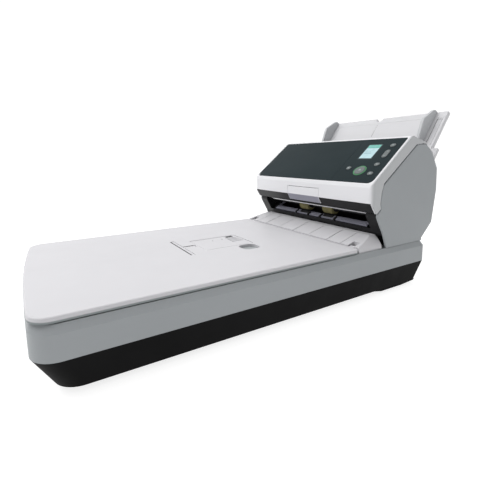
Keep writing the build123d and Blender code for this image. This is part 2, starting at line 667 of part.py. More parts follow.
GUIDE_START = 47.0              # behind the scan units
SHEET_THICK = 2.0
PATH_BEND = 80.0
PATH_END = (548.0, 178.5)
LIP_HALF = 114.6
LIP_OUTLINE = [(446.6, 99.4), (454.5, 103.6), (455.4, 102.2), (447.4, 97.4)]
LIP_RIB_OUTLINE = [
    (447.4, 98.4), (454.5, 103.0), (470.5, 112.2), path_point(52, 1.0), path_point(52, 4.5), (472.0, 108.5),
    (455.5, 100.5),
]

with BuildPart() as lower_paper_guide:
    guide_ribbon(GUIDE_START, PATH_BEND, PATH_END, 0.8, SHEET_THICK, LIP_HALF)
    # light lip in the mouth, between the fins, and the two ribs that carry it
    side_shape(LIP_OUTLINE, -LIP_HALF, 2 * LIP_HALF)
    for rib_start in (-LIP_HALF, LIP_HALF - 2):
        side_shape(LIP_RIB_OUTLINE, rib_start, 2)
    for tyre_x in TYRES:
        block((tyre_x - 12, tyre_x + 12), (448.2, 469), (90, 120), Mode.SUBTRACT)
    for fin_x in FIN_POSITIONS:
        block((fin_x - 1.9, fin_x + 1.9), (438, 453), (90, 110), Mode.SUBTRACT)
    for axis, tyre_centres, tyre_width in (
        (FEED_AXIS, FEED_TYRES, FEED_TYRE_WIDTH), (PICK_AXIS, PICK_TYRES, PICK_TYRE_WIDTH),
    ):
        reach = tyre_width / 2 + TYRE_GAP
        for tyre_x in tyre_centres:
            bar_x(axis, DRIVE_TYRE_RADIUS + TYRE_GAP, (tyre_x - reach, tyre_x + reach), Mode.SUBTRACT)
save(lower_paper_guide, "lower_paper_guide")

# ---------------------------------------------------------------- opening cover
COVER_SIDE_OUTLINE = [
    (417.3, 137.9), (417.6, 160.0), (418.9, 165.0), (424.0, 170.0), (501.9, 232.6), (506.0, 233.2),
    (539.0, 223.9), (538.6, 222.7), (517.2, 221.6), (440.7, 163.3), (437.2, 152.4), (435.2, 136.4),
    (436.9, 129.6), (430.3, 124.4), (427.4, 123.0),
]
COVER_INNER_OUTLINE = [
    (405.0, 137.9), (420.4, 137.9), (420.7, 160.2), (426.7, 166.6), (503.0, 227.9), (507.0, 229.6),
    (541.0, 220.2), (541.0, 100.0), (405.0, 100.0),
]
TAB_HALF = 40.0
TAB_TOP = 152.0
LEVER_AXIS = (418.85, 150.7)
PANEL_SINK = 2.0                # the panels lie in a recess of this depth
SKIN = 4.2                      # shell and panel together
BUTTONS = {
    "scan_button": (104.0, 27.0, 8.3, 8.3),
    "stop_button": (80.0, 31.5, 4.4, 3.4),
    "menu_button": (126.3, 86.0, 4.6, 3.6),
    "rocker_button": (126.0, 66.0, 4.2, 9.0),
    "mode_button": (125.5, 41.5, 4.4, 3.4),
    "power_button": (126.5, 21.3, 4.6, 3.6),
}
BUTTON_GAP = 0.3
BUTTON_RISE = 1.0               # the buttons stand this much above the panels
BUTTON_FLANGE = 1.1
SCREEN = (80.0, 107.0, 54.0, 91.0)


def button_shape(centre_x, centre_y, half_x, half_y):
    """The outline of a button: round, or a slot with round ends."""
    with Locations((centre_x, centre_y)):
        if half_x == half_y:
            Circle(half_x)
        elif half_x > half_y:
            SlotOverall(2 * half_x, 2 * half_y)
        else:
            SlotOverall(2 * half_y, 2 * half_x, rotation=90)


def button_holes(top, depth):
    """Cut the holes of all buttons from a height above the panel plane."""
    with BuildSketch(PANEL_PLANE.offset(top)) as holes:
        for centre_x, centre_y, half_x, half_y in BUTTONS.values():
            button_shape(centre_x, centre_y, half_x + BUTTON_GAP, half_y + BUTTON_GAP)
    extrude(holes.sketch, amount=-depth, mode=Mode.SUBTRACT)


COVER_CORNER = 7.0              # rounding of the cover's front corners, seen from above
COVER_EDGE = 2.4                # rounding along its sloping sides

with BuildPart() as cover_shell:
    side_shape(COVER_SIDE_OUTLINE, -FEEDER_HALF, 2 * FEEDER_HALF)
    slope_edges = cover_shell.edges().filter_by(lambda edge: edge.length > 60 and abs(edge.center().X) > 140)
    fillet(slope_edges, COVER_EDGE)
    # front corners
    with BuildSketch(Plane.XY.offset(120)) as plan:
        with Locations((0, behind(480))):
            Rectangle(2 * FEEDER_HALF, 2 * (480 - 417.3))
        fillet(plan.vertices().group_by(Axis.Y)[0], COVER_CORNER)
    extrude(plan.sketch, amount=120, mode=Mode.INTERSECT)
    side_shape(COVER_INNER_OUTLINE, -INNER_HALF, 2 * INNER_HALF, Mode.SUBTRACT)
    # recess of the two panels
    with BuildSketch(PANEL_PLANE.offset(3)) as recess:
        with Locations((0, PANEL_EDGE + PANEL_LENGTH / 2)):
            Rectangle(2 * PANEL_HALF, PANEL_LENGTH)
        fillet(recess.vertices().group_by(Axis.Y)[0], LOWER_CORNER)
        fillet(recess.vertices().group_by(Axis.Y)[-1], UPPER_CORNER)
    extrude(amount=-(3 + PANEL_SINK), mode=Mode.SUBTRACT)
    button_holes(1, 8)
    slab(PANEL_PLANE.offset(1), SCREEN[:2], SCREEN[2:], -8, Mode.SUBTRACT)
    # opening of the release lever
    block((-TAB_HALF - 0.5, TAB_HALF + 0.5), (410, 424), (137, TAB_TOP + 0.7), Mode.SUBTRACT)
    bar_x(LEVER_AXIS, PIVOT_RADIUS + FIT, (-TAB_HALF - 2.8, TAB_HALF + 2.8), Mode.SUBTRACT)
save(cover_shell, "cover_shell")


def panel_outline(x_low, x_high):
    """One of the two panels, with the corners that lie at the outer side rounded."""
    with BuildSketch(PANEL_PLANE.offset(-PANEL_SINK)) as outline:
        with Locations(((x_low + x_high) / 2, PANEL_EDGE + PANEL_LENGTH / 2)):
            Rectangle(x_high - x_low, PANEL_LENGTH - 0.4)
        outer = -1 if abs(x_low) > abs(x_high) else 1
        corners = outline.vertices().filter_by(lambda corner: corner.X * outer > PANEL_HALF - 1)
        fillet(corners.group_by(Axis.Y)[0], LOWER_CORNER)
        corners = outline.vertices().filter_by(lambda corner: corner.X * outer > PANEL_HALF - 1)
        fillet(corners.group_by(Axis.Y)[-1], UPPER_CORNER)
    extrude(outline.sketch, amount=PANEL_SINK)


with BuildPart() as front_panel:
    panel_outline(-PANEL_HALF + 0.2, PANEL_SPLIT - 0.15)
save(front_panel, "front_panel")

RING_OUTER = 10.6
RING_INNER = 8.6

with BuildPart() as control_panel:
    panel_outline(PANEL_SPLIT + 0.15, PANEL_HALF - 0.2)
    button_holes(1, 8)
    slab(PANEL_PLANE.offset(1), SCREEN[:2], SCREEN[2:], -8, Mode.SUBTRACT)
    pin_on(PANEL_PLANE.offset(1), BUTTONS["scan_button"][:2], RING_OUTER, -1.8, Mode.SUBTRACT)
save(control_panel, "control_panel")

with BuildPart() as scan_ring:
    with BuildSketch(PANEL_PLANE.offset(-0.8)):
        with Locations(BUTTONS["scan_button"][:2]):
            Circle(RING_OUTER - 0.1)
            Circle(RING_INNER, mode=Mode.SUBTRACT)
    extrude(amount=1.1)
save(scan_ring, "scan_ring")

with BuildPart() as lcd_screen:
    slab(
        PANEL_PLANE.offset(-0.3), (SCREEN[0] + 0.1, SCREEN[1] - 0.1), (SCREEN[2] + 0.1, SCREEN[3] - 0.1), -5.0
    )
save(lcd_screen, "lcd_screen")

for button_name, (centre_x, centre_y, half_x, half_y) in BUTTONS.items():
    with BuildPart() as button:
        with BuildSketch(PANEL_PLANE.offset(BUTTON_RISE)):
            button_shape(centre_x, centre_y, half_x, half_y)
        extrude(amount=-(SKIN + 1.4))
        chamfer(button.faces().sort_by(Axis.Z)[-1].edges(), 0.4)
        # flange that keeps the button in
        with BuildSketch(PANEL_PLANE.offset(-SKIN - 0.4)):
            button_shape(centre_x, centre_y, half_x + BUTTON_FLANGE, half_y + BUTTON_FLANGE)
        extrude(amount=-1.0)
    save(button, button_name)

SWITCH_HALF = 2.5

with BuildPart() as panel_board:
    board_plane = PANEL_PLANE.offset(-9.6)
    slab(board_plane, (70, 136), (14, 94), -1.6)
    for centre_x, centre_y, half_x, half_y in BUTTONS.values():
        switch_x = (centre_x - SWITCH_HALF, centre_x + SWITCH_HALF)
        slab(board_plane, switch_x, (centre_y - SWITCH_HALF, centre_y + SWITCH_HALF), 2.2)
save(panel_board, "panel_board")

with BuildPart() as cover_trim:
    side_shape([(418.0, 137.5), (427.6, 123.4), (430.0, 124.7), (420.9, 137.5)], -INNER_HALF, 2 * INNER_HALF)
    block((-TAB_HALF - 0.5, TAB_HALF + 0.5), (410, 440), (126.6, 140), Mode.SUBTRACT)
save(cover_trim, "cover_trim")

with BuildPart() as release_lever:
    side_shape(
        [(417.4, 138.4), (417.6, LEVER_AXIS[1]), (420.0, LEVER_AXIS[1]), (420.2, 138.4)],
        -TAB_HALF,
        2 * TAB_HALF,
    )
    bar_x(LEVER_AXIS, TAB_TOP - LEVER_AXIS[1], (-TAB_HALF, TAB_HALF))
    bar_x(LEVER_AXIS, PIVOT_RADIUS, (-TAB_HALF - 2.6, TAB_HALF + 2.6))
    side_shape([(417.2, 138.4), (424.0, 127.2), (426.0, 128.4), (420.2, 138.4)], -TAB_HALF, 2 * TAB_HALF)
save(release_lever, "release_lever")

IDLER_AXIS = (457.5, 115.0)
BRAKE_AXIS = (541.4, 184.3)
END_PLATE_OUTLINE = [
    (450.0, 110.0), (454.5, 107.4), (462.0, 110.8), (522.0, 153.0), (545.0, 181.5), (538.0, 205.0),
    (512.0, 219.0), (502.0, 215.0), (490.0, 204.5), (440.0, 164.5), (439.0, 140.0), (438.2, 119.5),
    (440.5, 117.0),
]
END_PLATE_X = 121.7
END_PLATE_THICK = 3.0
MEMBER_DEPTHS = (486.0, 496.0)
MEMBER_Z = (196.0, 201.0)
ROD_AXIS = (441.0, 120.0)
EJECT_ROD_RADIUS = 1.5
IDLER_SHAFT = 2.5
HUB_RADIUS = 5.0
IDLER_RADIUS = 9.5
BRAKE_RADIUS = 8.4

with BuildPart() as cover_inner_guide:
    for plate_start in (-END_PLATE_X - END_PLATE_THICK, END_PLATE_X):
        side_shape(END_PLATE_OUTLINE, plate_start, END_PLATE_THICK)
        for axis, hole_radius in (
            (IDLER_AXIS, IDLER_SHAFT + FIT), (BRAKE_AXIS, IDLER_SHAFT + FIT), (ROD_AXIS, EJECT_ROD_RADIUS),
        ):
            bar_x(axis, hole_radius, (plate_start, plate_start + END_PLATE_THICK), Mode.SUBTRACT)
    guide_ribbon(GUIDE_START, PATH_BEND, PATH_END, -2.4, SHEET_THICK, END_PLATE_X)
    block((-33, 33), (524, 560), (150, 200), Mode.SUBTRACT)
    # cross member under the panel, in line with the arms' ribs
    block((-END_PLATE_X, END_PLATE_X), MEMBER_DEPTHS, MEMBER_Z)
save(cover_inner_guide, "cover_inner_guide")

COVER_ARM_OUTLINE = [
    (441.0, 109.0), (440.5, 114.5), (443.5, 118.0), (449.5, 124.5), (478.0, 196.0), (503.0, 210.0),
    (470.0, 140.0), (455.0, 116.0), (452.5, 109.0), (449.0, 105.5), (443.0, 105.5),
]

ARM_WIDTH = 9.0

with BuildPart() as cover_arms:
    for arm_start, rib_start in ((-141.0, -142.8), (132.0, 124.7)):
        side_shape(COVER_ARM_OUTLINE, arm_start, ARM_WIDTH)
        bar_x(COVER_HINGE, COVER_PIN_RADIUS + FIT, (arm_start, arm_start + ARM_WIDTH), Mode.SUBTRACT)
        # rib that joins the side wall, the arm and the end plate
        block((rib_start, rib_start + 18.1), MEMBER_DEPTHS, MEMBER_Z)
save(cover_arms, "cover_arms")

with BuildPart() as upper_scan_unit:
    slab(PATH_PLANE.offset(1.4), (-SCAN_HALF, SCAN_HALF), SCAN_ALONG, 22)
    slab(PATH_PLANE.offset(1.4), (-WINDOW_HALF, WINDOW_HALF), WINDOW_ALONG, WINDOW_SINK, Mode.SUBTRACT)
save(upper_scan_unit, "upper_scan_unit")

with BuildPart() as eject_rod:
    bar_x(ROD_AXIS, EJECT_ROD_RADIUS, (-END_PLATE_X - END_PLATE_THICK, END_PLATE_X + END_PLATE_THICK))
save(eject_rod, "eject_rod")

with BuildPart() as eject_idler_shaft:
    bar_x(IDLER_AXIS, IDLER_SHAFT, (-END_PLATE_X - 2.5, END_PLATE_X + 2.5))
    for tyre_x in TYRES:
        bar_x(IDLER_AXIS, HUB_RADIUS, (tyre_x - TYRE_WIDTH / 2 - 4, tyre_x + TYRE_WIDTH / 2 + 4))
save(eject_idler_shaft, "eject_idler_shaft")

with BuildPart() as eject_idler_rollers:
    for tyre_x in TYRES:
        tyre_edges = (tyre_x - TYRE_WIDTH / 2, tyre_x + TYRE_WIDTH / 2)
        bar_x(IDLER_AXIS, IDLER_RADIUS, tyre_edges)
        bar_x(IDLER_AXIS, HUB_RADIUS, tyre_edges, Mode.SUBTRACT)
save(eject_idler_rollers, "eject_idler_rollers")

with BuildPart() as brake_roller:
    bar_x(BRAKE_AXIS, IDLER_SHAFT, (-END_PLATE_X - 2.5, END_PLATE_X + 2.5))
    bar_x(BRAKE_AXIS, BRAKE_RADIUS, (-30, 30))
save(brake_roller, "brake_roller")

# ---------------------------------------------------------------- document cover
LID_INSET = 5.0                 # at the sides
LID_OVERLAP = 0.2               # at the front, where the lid reaches the edge of the case
LID_FRONT_RADIUS = 21.0
LID_REAR_RADIUS = 8.0
LID_EDGE = 2.0
PAD_TOP = 73.9
STACKER_DEPTHS = (217.0, 296.0)
STACKER_HALF = 29.6
STACKER_FLOOR = 73.3
STACKER_AXIS = (219.2, 75.0)
BAR_AXIS = (213.4, 75.0)
BAR_DEPTHS = (192.2, 196.0)
BAR_HALF = 41.4
STEM_HALF = 3.0
BAR_GAP = 2.4                   # finger gaps: before the bar, left of its stem, right of the plate
STEM_GAP = 2.2
PLATE_GAP = 1.4
FINGER_X = 47.0                 # recess beside the plate
FINGER_SIZE = (26.0, 27.0, 9.0)     # width, length, corner radius
FINGER_DEPTH = 3.9

with BuildPart() as lid_shell:
    with BuildSketch(Plane.XY.offset(LID_BOTTOM)) as lid_plan:
        with BuildLine():
            lid_half = HALF_WIDTH - LID_INSET
            lid_front = behind(LID_OVERLAP)
            lid_rear = behind(RAMP_FRONT - 1)
            Line((lid_half, lid_front + FRONT_BOW), (lid_half, lid_rear))
            Line((lid_half, lid_rear), (-lid_half, lid_rear))
            Line((-lid_half, lid_rear), (-lid_half, lid_front + FRONT_BOW))
            ThreePointArc(
                (-lid_half, lid_front + FRONT_BOW), (0, lid_front), (lid_half, lid_front + FRONT_BOW)
            )
        make_face()
        fillet(lid_plan.vertices().sort_by(Axis.Y)[:2], LID_FRONT_RADIUS)
        fillet(lid_plan.vertices().sort_by(Axis.Y)[-2:], LID_REAR_RADIUS)
    extrude(amount=LID_TOP - LID_BOTTOM)
    fillet(lid_shell.faces().sort_by(Axis.Z)[-1].edges(), LID_EDGE)
    # recess for the pad, which leaves a thicker floor under the stacker
    block((-136, 136), (22, 388), (LID_BOTTOM - 1, PAD_TOP), Mode.SUBTRACT)
    block((-47, 64), (186, 300), (71.9, PAD_TOP))
    # recesses of the stacker plate, the stopper bar and its stem
    block((-STACKER_HALF - 0.4, STACKER_HALF + PLATE_GAP), STACKER_DEPTHS, (STACKER_FLOOR, 80), Mode.SUBTRACT)
    block(
        (-BAR_HALF - 0.5, BAR_HALF + 0.5),
        (BAR_DEPTHS[0] - BAR_GAP, BAR_DEPTHS[1] + 0.5),
        (STACKER_FLOOR, 80),
        Mode.SUBTRACT,
    )
    block(
        (-STEM_HALF - STEM_GAP, STEM_HALF + 0.5), (BAR_DEPTHS[1], 215.2), (STACKER_FLOOR, 80), Mode.SUBTRACT
    )
    # pivot holes
    plate_pivot_edges = (-STACKER_HALF - 3, STACKER_HALF + PLATE_GAP + 2.2)
    bar_x(STACKER_AXIS, PIVOT_RADIUS + FIT, plate_pivot_edges, Mode.SUBTRACT)
    bar_x(BAR_AXIS, PIVOT_RADIUS + FIT, (-STEM_HALF - STEM_GAP - 2.2, STEM_HALF + 3), Mode.SUBTRACT)
    # finger recess beside the plate
    with BuildSketch(Plane.XY.offset(LID_TOP)):
        with Locations((FINGER_X, behind(278))):
            RectangleRounded(*FINGER_SIZE)
    extrude(amount=-FINGER_DEPTH, mode=Mode.SUBTRACT)
    # hinge arms
    for side in (-1, 1):
        arm_edges = sorted((side * ARM_X[0], side * ARM_X[1]))
        block(arm_edges, (395, LID_HINGE[0]), (71.2, 76.2))
        bar_x(LID_HINGE, 2.8, arm_edges)
        bar_x(LID_HINGE, LID_PIN_RADIUS + FIT, arm_edges, Mode.SUBTRACT)
save(lid_shell, "lid_shell")

with BuildPart() as document_pad:
    block((-120, 120), (48, 384), (70.35, PAD_TOP))
    block((-47.4, 64.4), (185.6, 300.4), (71.8, PAD_TOP), Mode.SUBTRACT)
save(document_pad, "document_pad")

with BuildPart() as stacker_plate:
    block(
        (-STACKER_HALF + 0.2, STACKER_HALF - 0.2), (STACKER_AXIS[0], STACKER_DEPTHS[1] - 0.8), (73.7, 76.3)
    )
    bar_x(STACKER_AXIS, 1.3, (-STACKER_HALF + 0.2, STACKER_HALF - 0.2))
    bar_x(STACKER_AXIS, PIVOT_RADIUS, (-STACKER_HALF - 2.4, STACKER_HALF + PLATE_GAP + 1.8))
    # grip hole, shallow grooves and two index marks
    block((-27.6, -19.6), (277, 290), (73, 77), Mode.SUBTRACT)
    for groove_start in (-16.0, -9.0, -2.0, 5.0):
        block((groove_start, groove_start + 4.0), (272, 292), (75.7, 77), Mode.SUBTRACT)
    for mark_x, mark_depth in ((-14.0, 249.0), (-15.0, 266.0)):
        bar_z(mark_x, mark_depth, 1.3, (75.3, 77), Mode.SUBTRACT)
save(stacker_plate, "stacker_plate")

with BuildPart() as stopper_bar:
    block((-BAR_HALF, BAR_HALF), BAR_DEPTHS, (73.8, 76.2))
    block((-STEM_HALF, STEM_HALF), (BAR_DEPTHS[1] - 1, BAR_AXIS[0]), (73.8, 76.2))
    bar_x(BAR_AXIS, 1.2, (-STEM_HALF, STEM_HALF))
    bar_x(BAR_AXIS, PIVOT_RADIUS, (-STEM_HALF - STEM_GAP - 1.8, STEM_HALF + 2.4))
save(stopper_bar, "stopper_bar")

# ---------------------------------------------------------------- chute
CHUTE_BOTTOM = -CHUTE_LENGTH
EXTENSION_LINE = -12.0
CHUTE_STRETCH = (CHUTE_BOTTOM, EXTENSION_LINE - 0.3)
CHUTE_WALL = 3.6
FRONT_SKIN = 2.0
RACK_LAYER = (-2.3, -3.9)       # heights of the racks behind the front surface
TONGUE_LAYER = (-4.2, -5.3)
BACK_LAYER = (-5.6, -7.0)
CHUTE_LUG_OUTLINE = [
    (560.5, 189.5), (564.2, 199.4), (575.9, 215.6), (580.4, 212.3), (568.7, 196.2), (567.0, 189.5),
]
PINION_TEETH = 18
PINION_POST = 2.0
PRESSURE_ANGLE = 20.0
ADDENDUM = 0.95                 # in modules
DEDENDUM = 1.25
MODULE = 1.0
PINION_RADIUS = MODULE * PINION_TEETH / 2
PINION_Y = -76.0
GUIDE_X = 108.0                 # inner face of a side guide at rest, A4 and letter width
BACKLASH = 0.2
LEG_HALF = 2.2
SLOT_HALF = 2.6
RACK_BODY = 3.6                 # distance from the pitch line to the outer edge of a rack
LEG_OFFSET = PINION_RADIUS + RACK_BODY - LEG_HALF


def chute_at(height):
    """The chute's front plane moved along its normal."""
    return CHUTE_PLANE.offset(height)


with BuildPart() as chute_plate:
    slab(CHUTE_PLANE, (-CHUTE_HALF, CHUTE_HALF), CHUTE_STRETCH, -FRONT_SKIN)
    # side and bottom walls
    for wall_start in (-CHUTE_HALF, CHUTE_HALF - 3):
        slab(chute_at(-FRONT_SKIN), (wall_start, wall_start + 3), CHUTE_STRETCH, -CHUTE_WALL)
    slab(chute_at(-FRONT_SKIN), (-CHUTE_HALF, CHUTE_HALF), (CHUTE_BOTTOM, CHUTE_BOTTOM + 2), -CHUTE_WALL)
    # shallow recesses beside the side guides
    for strip_start in (-128.0, 118.4):
        slab(CHUTE_PLANE, (strip_start, strip_start + 9.6), (-70, -15), -0.9, Mode.SUBTRACT)
    # centre line
    slab(CHUTE_PLANE, (-0.5, 0.5), (-44, -28), -0.6, Mode.SUBTRACT)
    for dot_y in (-25.0, -20.5, -16.0):
        pin_on(CHUTE_PLANE, (0, dot_y), 0.9, -0.6, Mode.SUBTRACT)
    # slots of the side guides and the pinion's post
    for side, slot_edges in ((1, (20, 117.6)), (-1, (-117.6, -20))):
        slot_y = PINION_Y + side * LEG_OFFSET
        slab(CHUTE_PLANE, slot_edges, (slot_y - SLOT_HALF, slot_y + SLOT_HALF), -2.1, Mode.SUBTRACT)
    pin_on(chute_at(-FRONT_SKIN), (0, PINION_Y), PINION_POST, -2.0)
    # lugs that sit between the side covers
    for lug_start in (-INNER_HALF, CHUTE_HALF):
        side_shape(CHUTE_LUG_OUTLINE, lug_start, INNER_HALF - CHUTE_HALF)
save(chute_plate, "chute_plate")

with BuildPart() as chute_back:
    slab(chute_at(BACK_LAYER[0]), (-CHUTE_HALF, CHUTE_HALF), CHUTE_STRETCH, BACK_LAYER[1] - BACK_LAYER[0])
save(chute_back, "chute_back")

TONGUE_HALF = 90.0
NOTCH_RADIUS = 7.0

with BuildPart() as chute_extension:
    slab(
        chute_at(TONGUE_LAYER[0]), (-TONGUE_HALF, TONGUE_HALF), (-66, EXTENSION_LINE),
        TONGUE_LAYER[1] - TONGUE_LAYER[0],
    )
    slab(CHUTE_PLANE, (-CHUTE_HALF, CHUTE_HALF), (EXTENSION_LINE, 0), -CHUTE_THICK)
    with BuildSketch(chute_at(1)):
        with Locations((0, 0)):
            Circle(NOTCH_RADIUS)
    extrude(amount=-CHUTE_THICK - 2, mode=Mode.SUBTRACT)
save(chute_extension, "chute_extension")


def involute_tooth(teeth, module, backlash):
    """Outline points of one external gear tooth that points along local +y."""
    pitch = module * teeth / 2
    base = pitch * math.cos(math.radians(PRESSURE_ANGLE))
    root = pitch - DEDENDUM * module
    tip = pitch + ADDENDUM * module
    half_at_pitch = math.pi / (2 * teeth) - backlash / (4 * pitch)
    pressure = math.tan(math.radians(PRESSURE_ANGLE)) - math.radians(PRESSURE_ANGLE)
    flank = []
    steps = 6
    roll_tip = math.sqrt((tip / base) ** 2 - 1)
    for step in range(steps + 1):
        roll = roll_tip * step / steps
        radius = base * math.sqrt(1 + roll * roll)
        angle = half_at_pitch + pressure - (roll - math.atan(roll))
        flank.append((radius * math.sin(angle), radius * math.cos(angle)))
    foot_angle = math.atan2(flank[0][0], flank[0][1])
    foot = (root * 0.98 * math.sin(foot_angle), root * 0.98 * math.cos(foot_angle))
    right = [foot] + flank
    left = [(-x, y) for x, y in reversed(right)]
    return right + left


with BuildPart() as guide_pinion:
    with BuildSketch(chute_at(RACK_LAYER[0])):
        with Locations((0, PINION_Y)):
            Circle(PINION_RADIUS - DEDENDUM * MODULE)
        tooth = involute_tooth(PINION_TEETH, MODULE, BACKLASH)
        for index in range(PINION_TEETH):
            turn = 2 * math.pi * (index + 0.5) / PINION_TEETH
            turned = [
                (
                    x * math.cos(turn) - y * math.sin(turn),
                    PINION_Y + x * math.sin(turn) + y * math.cos(turn),
                )
                for x, y in tooth
            ]
            with BuildLine():
                Polyline(turned, close=True)
            make_face()
        with Locations((0, PINION_Y)):
            Circle(PINION_POST + FIT, mode=Mode.SUBTRACT)
    extrude(amount=RACK_LAYER[1] - RACK_LAYER[0])
save(guide_pinion, "guide_pinion")

GUIDE_PROFILE = [
    (-90, 0.4), (-90, 10), (-61, 16), (-37, 23), (-30, 23.5), (-6, 12.0), (-1.5, 8.5), (-0.5, 0.4),
]
GUIDE_EDGE = 1.6
GUIDE_WALL = 6.0


def rack_outline(direction, x_far, x_near):
    """A rack whose teeth point at the pinion; direction is +1 above it and -1 below it."""
    pitch_line = PINION_Y + direction * PINION_RADIUS
    tooth_pitch = math.pi * MODULE
    slope = math.tan(math.radians(PRESSURE_ANGLE))
    half_tooth = tooth_pitch / 4 - BACKLASH / 2
    tip = -direction * ADDENDUM * MODULE
    root = direction * DEDENDUM * MODULE
    low, high = sorted((x_far, x_near))
    points = [(low, pitch_line + direction * RACK_BODY), (low, pitch_line + root)]
    first = math.ceil((low + 2) / tooth_pitch)
    last = math.floor((high - 2) / tooth_pitch)
    for number in range(first, last + 1):
        centre = number * tooth_pitch
        points += [
            (centre - half_tooth - DEDENDUM * MODULE * slope, pitch_line + root),
            (centre - half_tooth + ADDENDUM * MODULE * slope, pitch_line + tip),
            (centre + half_tooth - ADDENDUM * MODULE * slope, pitch_line + tip),
            (centre + half_tooth + DEDENDUM * MODULE * slope, pitch_line + root),
        ]
    points += [(high, pitch_line + root), (high, pitch_line + direction * RACK_BODY)]
    return points


def make_guide(side):
    """A side guide with its foot, its leg through the slot and its rack; side is +1 on the right."""
    inner_x = side * GUIDE_X
    wall_start = min(inner_x, inner_x + side * GUIDE_WALL)
    with BuildSketch(Plane.YZ.offset(wall_start)) as wall:
        tilt = math.radians(CHUTE_ANGLE)
        with BuildLine():
            Polyline(
                [
                    (
                        behind(CHUTE_TOP[0] + along * math.cos(tilt) - height * math.sin(tilt)),
                        CHUTE_TOP[1] + along * math.sin(tilt) + height * math.cos(tilt),
                    )
                    for along, height in GUIDE_PROFILE
                ],
                close=True,
            )
        make_face()
    extrude(wall.sketch, amount=GUIDE_WALL)
    leg_y = PINION_Y + side * LEG_OFFSET
    slab(
        chute_at(1.0),
        (wall_start + 0.5, wall_start + GUIDE_WALL - 0.5),
        (leg_y - LEG_HALF, leg_y + LEG_HALF),
        RACK_LAYER[1] - 1.0,
    )
    with BuildSketch(chute_at(RACK_LAYER[0])) as rack:
        with BuildLine():
            Polyline(rack_outline(side, side * -16.0, wall_start + 3 + side * 2.5), close=True)
        make_face()
    extrude(rack.sketch, amount=RACK_LAYER[1] - RACK_LAYER[0])


def is_rim(edge):
    """True for the edges of a guide's wall that stand well clear of the chute."""
    height = CHUTE_PLANE.to_local_coords(edge.center()).Z
    return height > 6 and abs((edge @ 1 - edge @ 0).X) < 0.1


with BuildPart() as guide_left:
    make_guide(-1)
    fillet(guide_left.edges().filter_by(is_rim), GUIDE_EDGE)
save(guide_left, "guide_left")

with BuildPart() as guide_right:
    make_guide(1)
    fillet(guide_right.edges().filter_by(is_rim), GUIDE_EDGE)
save(guide_right, "guide_right")
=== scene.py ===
import json
import math

import bmesh
import bpy
from mathutils import Matrix, Vector


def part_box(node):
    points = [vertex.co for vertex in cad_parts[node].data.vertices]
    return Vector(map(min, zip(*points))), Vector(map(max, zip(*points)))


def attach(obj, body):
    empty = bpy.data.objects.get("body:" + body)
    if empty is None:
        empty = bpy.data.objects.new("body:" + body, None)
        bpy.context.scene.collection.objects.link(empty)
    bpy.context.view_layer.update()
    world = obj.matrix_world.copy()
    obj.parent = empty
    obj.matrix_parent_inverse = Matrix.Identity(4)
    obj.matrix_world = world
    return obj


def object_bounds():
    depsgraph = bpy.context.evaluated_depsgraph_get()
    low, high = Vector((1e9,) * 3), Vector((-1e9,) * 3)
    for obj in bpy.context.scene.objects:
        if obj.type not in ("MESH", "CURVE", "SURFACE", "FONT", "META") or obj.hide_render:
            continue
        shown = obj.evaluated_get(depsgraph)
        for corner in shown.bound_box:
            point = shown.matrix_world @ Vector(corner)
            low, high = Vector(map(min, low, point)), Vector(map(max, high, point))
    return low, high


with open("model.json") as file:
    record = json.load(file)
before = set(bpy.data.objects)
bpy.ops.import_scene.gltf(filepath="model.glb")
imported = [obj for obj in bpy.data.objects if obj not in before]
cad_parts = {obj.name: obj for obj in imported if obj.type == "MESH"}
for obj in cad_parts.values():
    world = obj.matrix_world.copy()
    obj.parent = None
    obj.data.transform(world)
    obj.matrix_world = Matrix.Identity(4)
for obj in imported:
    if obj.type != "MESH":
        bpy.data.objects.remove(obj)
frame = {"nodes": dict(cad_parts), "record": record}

CAD_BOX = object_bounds()
LOW = CAD_BOX[0]
MM = 0.001


# ---------------------------------------------------------------- places in the frame
def behind(distance):
    """Y of a point this many millimetres behind the front edge of the case."""
    return LOW[1] + distance * MM


PANEL_TILT = math.radians(38.8)
CHUTE_TILT = math.radians(54.0)
PANEL_FOOT = (418.9, 165.9)     # distance behind the front edge and height, millimetres
CHUTE_TOP = (620.6, 277.1)
RAMP_FOOT = (397.0, 77.3)
RAMP_CREST = (434.6, 88.6)


def slope_frame(foot_depth, foot_height, tilt):
    """Origin, up-slope direction and outward normal of a sloping face."""
    origin = Vector((0, behind(foot_depth), LOW[2] + foot_height * MM))
    up = Vector((0, math.cos(tilt), math.sin(tilt)))
    out = Vector((0, -math.sin(tilt), math.cos(tilt)))
    return origin, up, out


PANEL = slope_frame(*PANEL_FOOT, PANEL_TILT)
CHUTE = slope_frame(*CHUTE_TOP, CHUTE_TILT)
RAMP_TILT = math.atan2(RAMP_CREST[1] - RAMP_FOOT[1], RAMP_CREST[0] - RAMP_FOOT[0])
RAMP = slope_frame(*RAMP_FOOT, RAMP_TILT)


def on_slope(face, x, along, height=0.0):
    """A point on a sloping face; x, the way up it and the height above it in millimetres."""
    origin, up, out = face
    return origin + Vector((x * MM, 0, 0)) + up * (along * MM) + out * (height * MM)


# ---------------------------------------------------------------- materials
# cells per metre of the noise patterns
DRIFT_SCALE = 9.0
FILM_DRIFT_SCALE = 14.0
WIPE_SCALE = 25.0
SMUDGE_SCALE = 30.0
PATCH_SCALE = 45.0
RIPPLE_SCALE = 60.0
DUST_SCALE = 120.0
DRAWING_SCALE = 700.0
# heights of the bump patterns in metres
RIPPLE_HEIGHT = 0.00003
DRAWING_HEIGHT = 0.00002
RUBBER_HEIGHT = 0.00005


